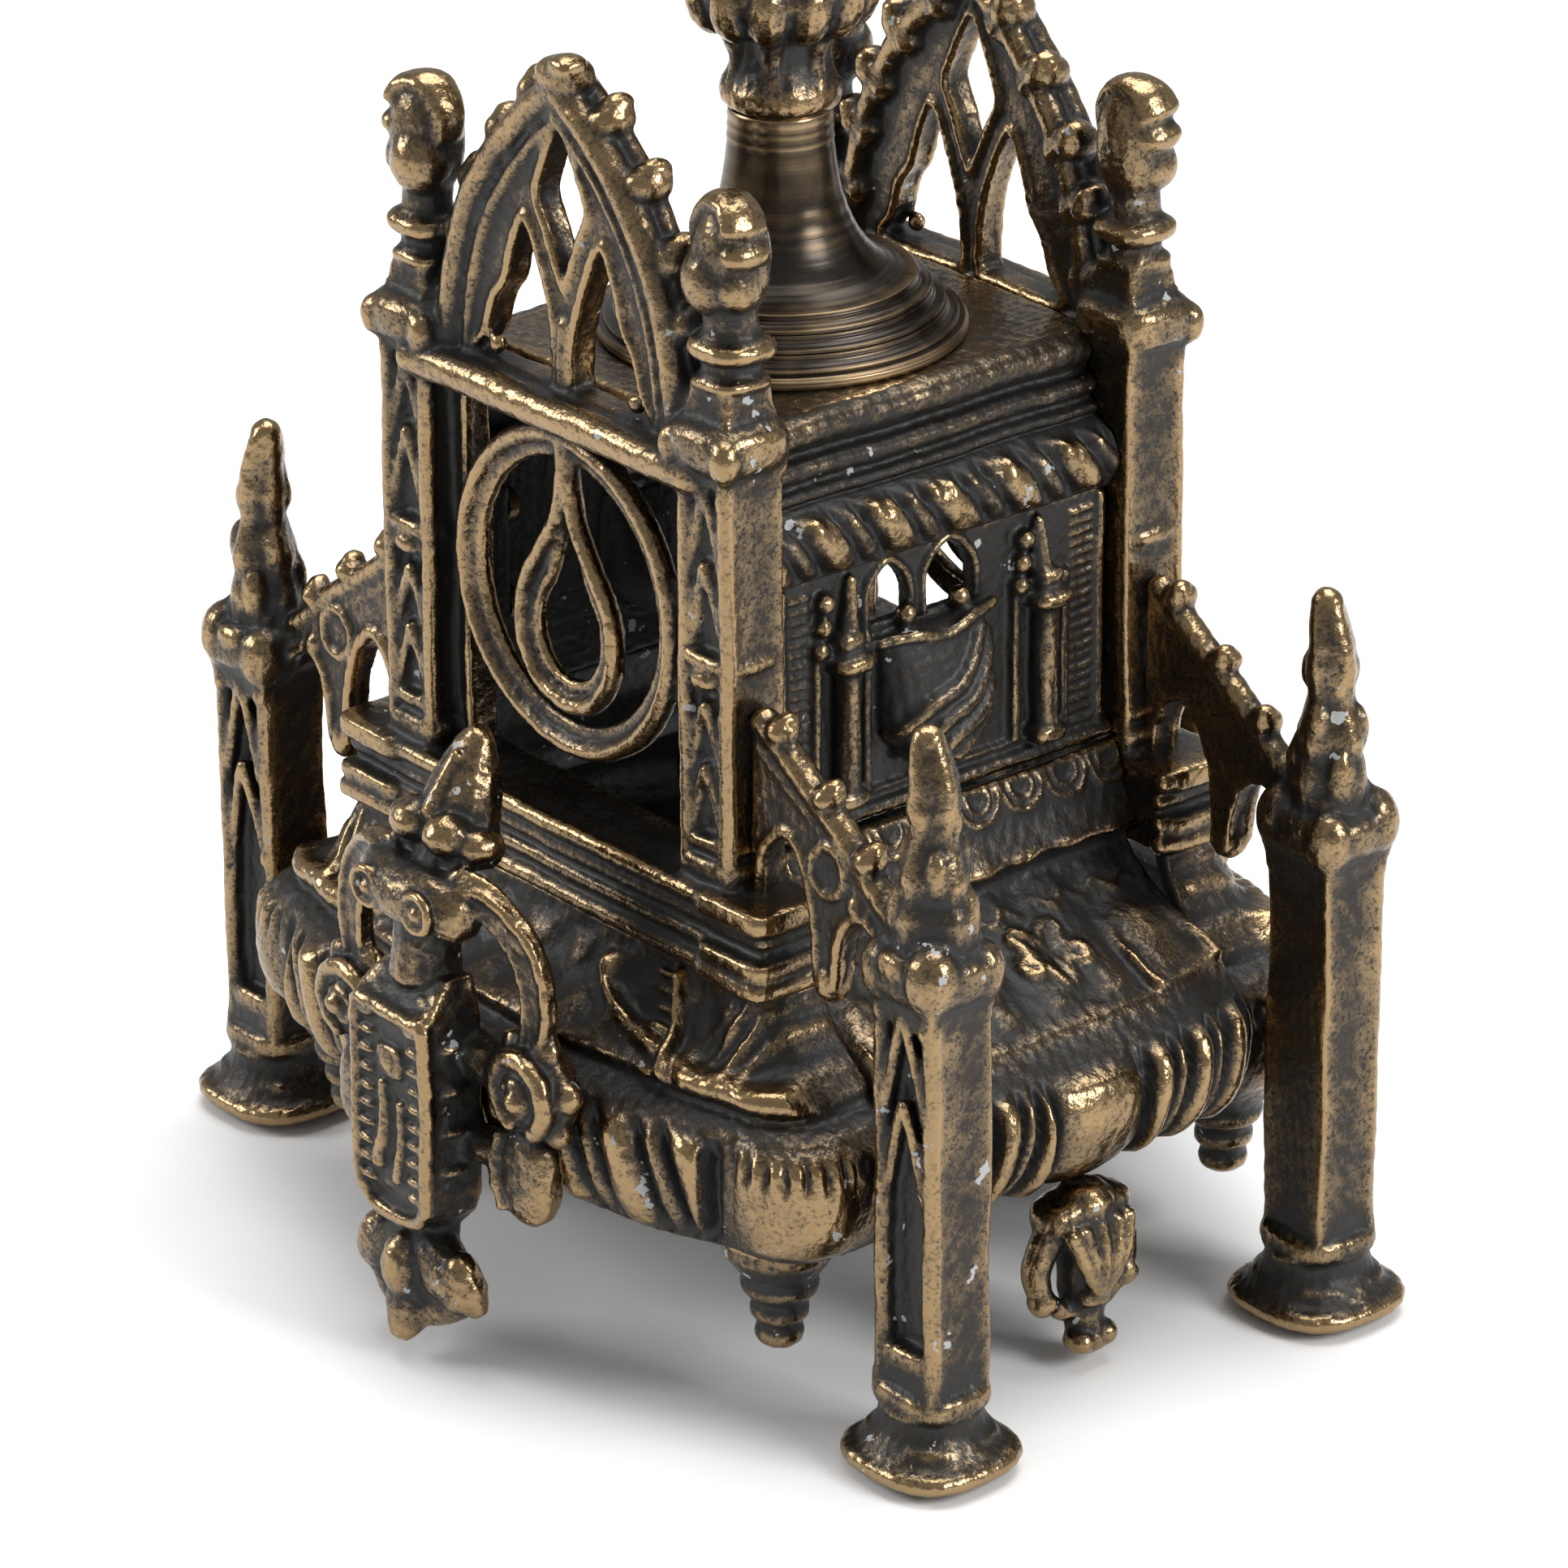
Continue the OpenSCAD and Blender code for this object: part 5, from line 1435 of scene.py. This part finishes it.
# ---------------------------------------------------------------- head: sunburst, cusped ring, cross

RAY_COUNT = 32
LONG_RAY, SHORT_RAY = 84.0, 70.0


def ray_free(a):
    return abs(a - 90) > 8 and abs(a - 270) > 26


def glory_mesh():
    """Ridged rays, long straight ones and short waved ones by turns, on a flat disc, with the tab below."""
    c = Clay()
    steps = 26
    for i in range(RAY_COUNT):
        deg = 360 * i / RAY_COUNT
        if not ray_free(deg):
            continue
        long = i % 2 == 0
        tip = LONG_RAY if long else SHORT_RAY
        root = GLORY_R - 3.0
        w = 4.4 if long else 5.6
        ca, sa = math.cos(math.radians(deg)), math.sin(math.radians(deg))
        rings = []
        for k in range(steps + 1):
            f = k / steps
            r = root + (tip - root) * f
            half = w / 2 * (1 - f) + 0.28
            off = 0.0 if long else 1.3 * math.sin(math.radians(f * 540))
            crest = 0.35 + 0.8 * (1 - 0.6 * f)
            section = [
                (-half, -0.15), (-half * 0.45, -crest * 0.62), (0, -crest - 0.05), (half * 0.45, -crest * 0.62),
                (half, -0.15), (half, 0.35), (0, crest * 0.95), (-half, 0.35)
            ]
            rings.append(
                np.array([(ca * r - sa * (u + off), v, GLORY_Z + sa * r + ca * (u + off)) for u, v in section])
            )
        c.rings(rings)
    a = np.linspace(0, 2 * math.pi, 161)[:-1]
    rings = []
    for r, y in (
        (CASE_R + 0.1, -1.1), (GLORY_R - 2.4, -1.15), (GLORY_R - 1.2, -0.9), (GLORY_R - 1.0, 0),
        (GLORY_R - 1.2, 0.9), (GLORY_R - 2.4, 1.15), (CASE_R + 0.1, 1.1)
    ):
        rings.append(np.stack([r * np.cos(a), np.full(len(a), y), GLORY_Z + r * np.sin(a)], 1))
    n = len(a)
    verts = np.concatenate(rings)
    faces = [
        (k * n + i, k * n + (i + 1) % n, ((k + 1) % 7) * n + (i + 1) % n, ((k + 1) % 7) * n + i)
        for k in range(7) for i in range(n)
    ]
    c.add(verts, faces)
    foot = SOCKET_Z + 26.6
    c.block((-7.9, 7.9), (-1.15, 1.15), (foot, GLORY_Z - GLORY_R + 3))
    me = c.mesh("glory")
    mark_wear(me)
    return me


def tracery_ring_mesh():
    """The pierced-looking ring round the lunette: cusps, rings and beads."""
    c = Clay()
    mid = (GLORY_R + CASE_R) / 2
    y = -2.9
    for r, size in ((GLORY_R - 0.9, 0.95), (CASE_R + 1.05, 0.9)):
        c.tube(arc(0, GLORY_Z, r, 0, 360, y - 0.45, 145), size, 8, 1.1)
    c.tube(arc(0, GLORY_Z, mid, 0, 360, y + 1.0, 145), 4.2, 8, 0.13)
    for k in range(24):
        a = math.radians(7.5 + 15 * k)
        x, z = math.cos(a), math.sin(a)
        c.ball(((GLORY_R - 0.2) * x, y - 0.2, GLORY_Z + (GLORY_R - 0.2) * z), 1.9, (1, 0.62, 1))
        ring = arc(mid * x, GLORY_Z + mid * z, 2.5, 0, 360, y - 0.2, 17)
        c.tube(ring, 0.62, 8, 1.2)
        b = math.radians(15 * k)
        c.ball(((mid + 0.4) * math.cos(b), y - 0.5, GLORY_Z + (mid + 0.4) * math.sin(b)), 0.95)
    return melt(c, "tracery_ring", voxel=0.34, steps=1, wobble=0.05, pit=0.03, seed=131)


def cross_mesh():
    """The cross: tapering stem, trefoil ends, ring, rays and a knob near the foot."""
    c = Clay()
    foot = GLORY_Z + GLORY_R
    arm = CROSS_ARM_Z
    c.slab(
        [
            (-4.0, foot - 1.5), (0, foot + 0.8), (4.0, foot - 1.5), (2.3, foot + 13), (2.0, arm), (-2.0, arm),
            (-2.3, foot + 13)
        ],
        -1.6, 1.6
    )
    c.tube([(0, -0.9, foot + 4), (0, -0.9, arm + 14)], 1.0, 8)
    for dx, dz in ((1, 0), (-1, 0), (0, 1)):
        c.slab(
            [
                (x * abs(dz) + dx * t, arm + z * abs(dx) + dz * t)
                for t, x, z in ((2, -2.1, -2.1), (2, 2.1, 2.1), (13, 1.7, 1.7), (13, -1.7, -1.7))
            ][:: 1 if dx >= 0 and dz == 0 else -1],
            -1.5, 1.5
        )
        c.tube([(dx * 3, -0.9, arm + dz * 3), (dx * 14, -0.9, arm + dz * 14)], 0.95, 8)
        px, pz = -dz, dx
        for u, v in ((15.6, 0), (13.6, 2.1), (13.6, -2.1)):
            c.ball((dx * u + px * v, 0, arm + dz * u + pz * v), 2.3, (1, 0.72, 1))
    c.tube(arc(0, arm, 5.2, 0, 360, -0.2, 33), 0.9, 8, 1.4)
    c.ball((0, 0, arm), 4.6, (1, 0.36, 1))
    for k in range(4):
        a = math.radians(45 + 90 * k)
        c.tube(
            [(3 * math.cos(a), 0, arm + 3 * math.sin(a)), (8.4 * math.cos(a), 0, arm + 8.4 * math.sin(a))],
            [1.0, 0.4], 8
        )
    c.tube([(-3.6, 0, foot + 8), (3.6, 0, foot + 8)], 1.3, 10)
    c.ball((0, 0, foot + 8), 2.6, (1, 0.7, 1))
    return melt(c, "cross_finial", voxel=0.34, steps=1, wobble=0.06, pit=0.04, seed=141)


def gem_mesh():
    """A round-topped stone."""
    c = Clay()
    a = np.linspace(0, 2 * math.pi, 24, endpoint=False)
    c.rings(
        [
            np.stack([r * np.cos(a), np.full(24, y), CROSS_ARM_Z + r * np.sin(a)], 1)
            for r, y in ((3.3, -2.02), (3.4, -2.3), (3.1, -2.9), (2.4, -3.4), (1.4, -3.7), (0.4, -3.78))
        ]
    )
    me = c.mesh("cross_gem")
    smooth_shade(me)
    return me


# ---------------------------------------------------------------- everything in its place

screen = screen_mesh()
for name, turn in (("front", Matrix()), ("rear", HALF_TURN)):
    place("screen_" + name, screen, "base", [name + "_tracery"], "cast_brass", CAST, turn)

buttress = buttress_mesh()
for name, turn in (
    ("front_right", Matrix()), ("front_left", MIRROR_X), ("rear_left", HALF_TURN),
    ("rear_right", HALF_TURN @ MIRROR_X)
):
    place("flying_buttress_" + name, buttress, "base", ["buttress_" + name], "cast_brass", CAST, turn)

PAIRS = [
    (
        "apron", shell("apron", apron_point, APRON_OUT, APRON_Z, apron_relief, 400, 114),
        ("front_apron", "rear_apron"), "dark_cast_brass", CAST
    ),
    (
        "skirt", shell("skirt", skirt_point, SKIRT_OUT, SKIRT_Z, skirt_relief, 170, 170, seed=13),
        ("right_skirt", "left_skirt"), "dark_cast_brass", WORN_DARK
    ),
    ("wall_panel", panel_mesh(), ("right_panel", "left_panel"), "dark_cast_brass", SHELTERED),
    (
        "cornice", shell("cornice", cornice_point, CORNICE_OUT, CORNICE_Z, cornice_relief, 170, 90, 2.6, 9),
        ("right_cornice", "left_cornice"), "dark_cast_brass", CAST
    ),
    ("shield", shield_mesh(), ("front_shield", "rear_shield"), "cast_brass", CAST),
    ("pendant", pendant_mesh(), ("right_pendant", "left_pendant"), "cast_brass", CAST),
]
for name, me, (near, far), slot, material in PAIRS:
    place(near + "_casting", me, "base", [near], slot, material)
    place(far + "_casting", me, "base", [far], slot, material, HALF_TURN)

drop = drop_mesh()
for k, turn in enumerate((Matrix(), MIRROR_X, HALF_TURN, HALF_TURN @ MIRROR_X), 1):
    place(f"corner_drop_{k}", drop, "base", ["corner_drops"], "cast_brass", CAST, turn)

place("top_plate_casting", top_mesh(), "base", ["top_plate"], "dark_cast_brass", DUST_AND_SHEEN_PLATE)
for node, me, slot, material in (
    ("stem_flange", flange_mesh(), "turned_brass", TURNED),
    ("lower_knop", lower_knop_mesh(), "cast_brass", CAST),
    ("stem_collar", collar_mesh(), "turned_brass", TURNED),
    ("gothic_shaft", shaft_mesh(), "cast_brass", CAST),
    ("main_knop", main_knop_mesh(), "cast_brass", CAST),
    ("knop_bosses", bosses_mesh(), "gilt_brass", GILT),
    ("upper_shaft", upper_shaft_mesh(), "turned_brass", TURNED),
    ("head_socket", socket_mesh(), "cast_brass", CAST),
    ("glory", glory_mesh(), "gilt_brass", GILT),
    ("tracery_ring", tracery_ring_mesh(), "cast_brass", CAST),
    ("cross_finial", cross_mesh(), "cast_brass", CAST),
    ("cross_gem", gem_mesh(), "red_glass", RED),
    ("lunette_case", recast("lunette_case", voxel=0.33, steps=2, wobble=0.0, pit=0.02), "gilt_brass", GILT),
):
    place(node + "_piece", me, "base", [node], slot, material)

# CAD nodes whose own shape is right take a better material
FITTINGS = {
    STEEL: ["tie_rod", "head_pin", "hinge_pin", "latch_screw"],
    PLAIN_BRASS: ["tie_washer", "tie_nut", "screen_screws"],
    PLAIN_GILT: [
        "ring_rivets", "front_retainer", "luna_rail", "luna", "door_keeper", "rear_door", "rear_retainer",
        "door_latch"
    ],
    GLASS: ["front_glass", "rear_glass"],
}
for material, nodes in FITTINGS.items():
    for node in nodes:
        paint(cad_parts[node].data, material)


# ---------------------------------------------------------------- studio and camera


def studio():
    """A white room: bright to the eye, dimmer as light, so that softboxes shape the metal."""
    world = bpy.data.worlds.new("white_room")
    bpy.context.scene.world = world
    world.use_nodes = True
    tree = world.node_tree
    background = tree.nodes["Background"]
    path = tree.nodes.new("ShaderNodeLightPath")
    level = tree.nodes.new("ShaderNodeMapRange")
    level.inputs["To Min"].default_value = 0.42
    level.inputs["To Max"].default_value = 1.0
    tree.links.new(path.outputs["Is Camera Ray"], level.inputs["Value"])
    tree.links.new(level.outputs["Result"], background.inputs["Strength"])
    background.inputs["Color"].default_value = (1, 1, 1, 1)
    floor = bpy.data.meshes.new("floor")
    s = 3.0
    floor.from_pydata([(-s, -s, 0), (s, -s, 0), (s, s, 0), (-s, s, 0)], [], [(0, 1, 2, 3)])
    m = Nodes("floor")
    m.set("Base Color", m.mix(m.noise(60.0, 2.0), (0.90, 0.90, 0.905), (0.93, 0.93, 0.93)))
    m.set("Roughness", 0.55)
    # far from the object the floor is given a painted glow, for the eye only, so that it fades into the white
    # room
    distance = m.tree.nodes.new("ShaderNodeVectorMath")
    distance.operation = "LENGTH"
    m.link(m.place, distance.inputs[0])
    seen = m.tree.nodes.new("ShaderNodeLightPath").outputs["Is Camera Ray"]
    m.set("Emission Color", (1, 1, 1))
    m.set("Emission Strength", m.calc("MULTIPLY", m.span(distance.outputs["Value"], 0.3, 1.4, 0.0, 0.75), seen))
    paint(floor, m.material)
    stand("floor", floor)
    for name, at, size, power in (
        ("overhead", (-0.15, 0.25, 1.25), 1.0, 17),
        ("right", (1.15, 0.35, 0.75), 0.55, 12),
        ("left", (-0.95, -0.9, 0.75), 0.55, 9),
    ):
        light = bpy.data.lights.new(name, "AREA")
        light.size = size
        light.energy = power
        lamp = stand(name, light)
        lamp.location = at
        aim = Vector((0, 0, 0.09)) - lamp.location
        lamp.rotation_euler = aim.to_track_quat("-Z", "Y").to_euler()
    bpy.context.scene.view_settings.view_transform = "Standard"


def camera():
    """The photograph's camera: azimuth, elevation, roll, place and lens."""
    data = bpy.data.cameras.new("camera")
    data.lens = 178.24
    data.sensor_width = 36
    data.clip_start = 0.05
    ob = stand("camera", data)
    azimuth, elevation, roll = math.radians(50.127), math.radians(23.856), math.radians(-0.254)
    back = np.array(
        (math.cos(elevation) * math.sin(azimuth), -math.cos(elevation) * math.cos(azimuth), math.sin(elevation))
    )
    right = np.array((math.cos(azimuth), math.sin(azimuth), 0.0))
    up = np.cross(back, right)
    right, up = math.cos(roll) * right + math.sin(roll) * up, -math.sin(roll) * right + math.cos(roll) * up
    ob.matrix_world = Matrix(
        [
            (*row, at)
            for row, at in zip(np.stack([right, up, back], 1).tolist(), (0.671483, -0.560808, 0.444234))
        ]
        + [(0, 0, 0, 1)]
    )
    bpy.context.scene.camera = ob


studio()
camera()
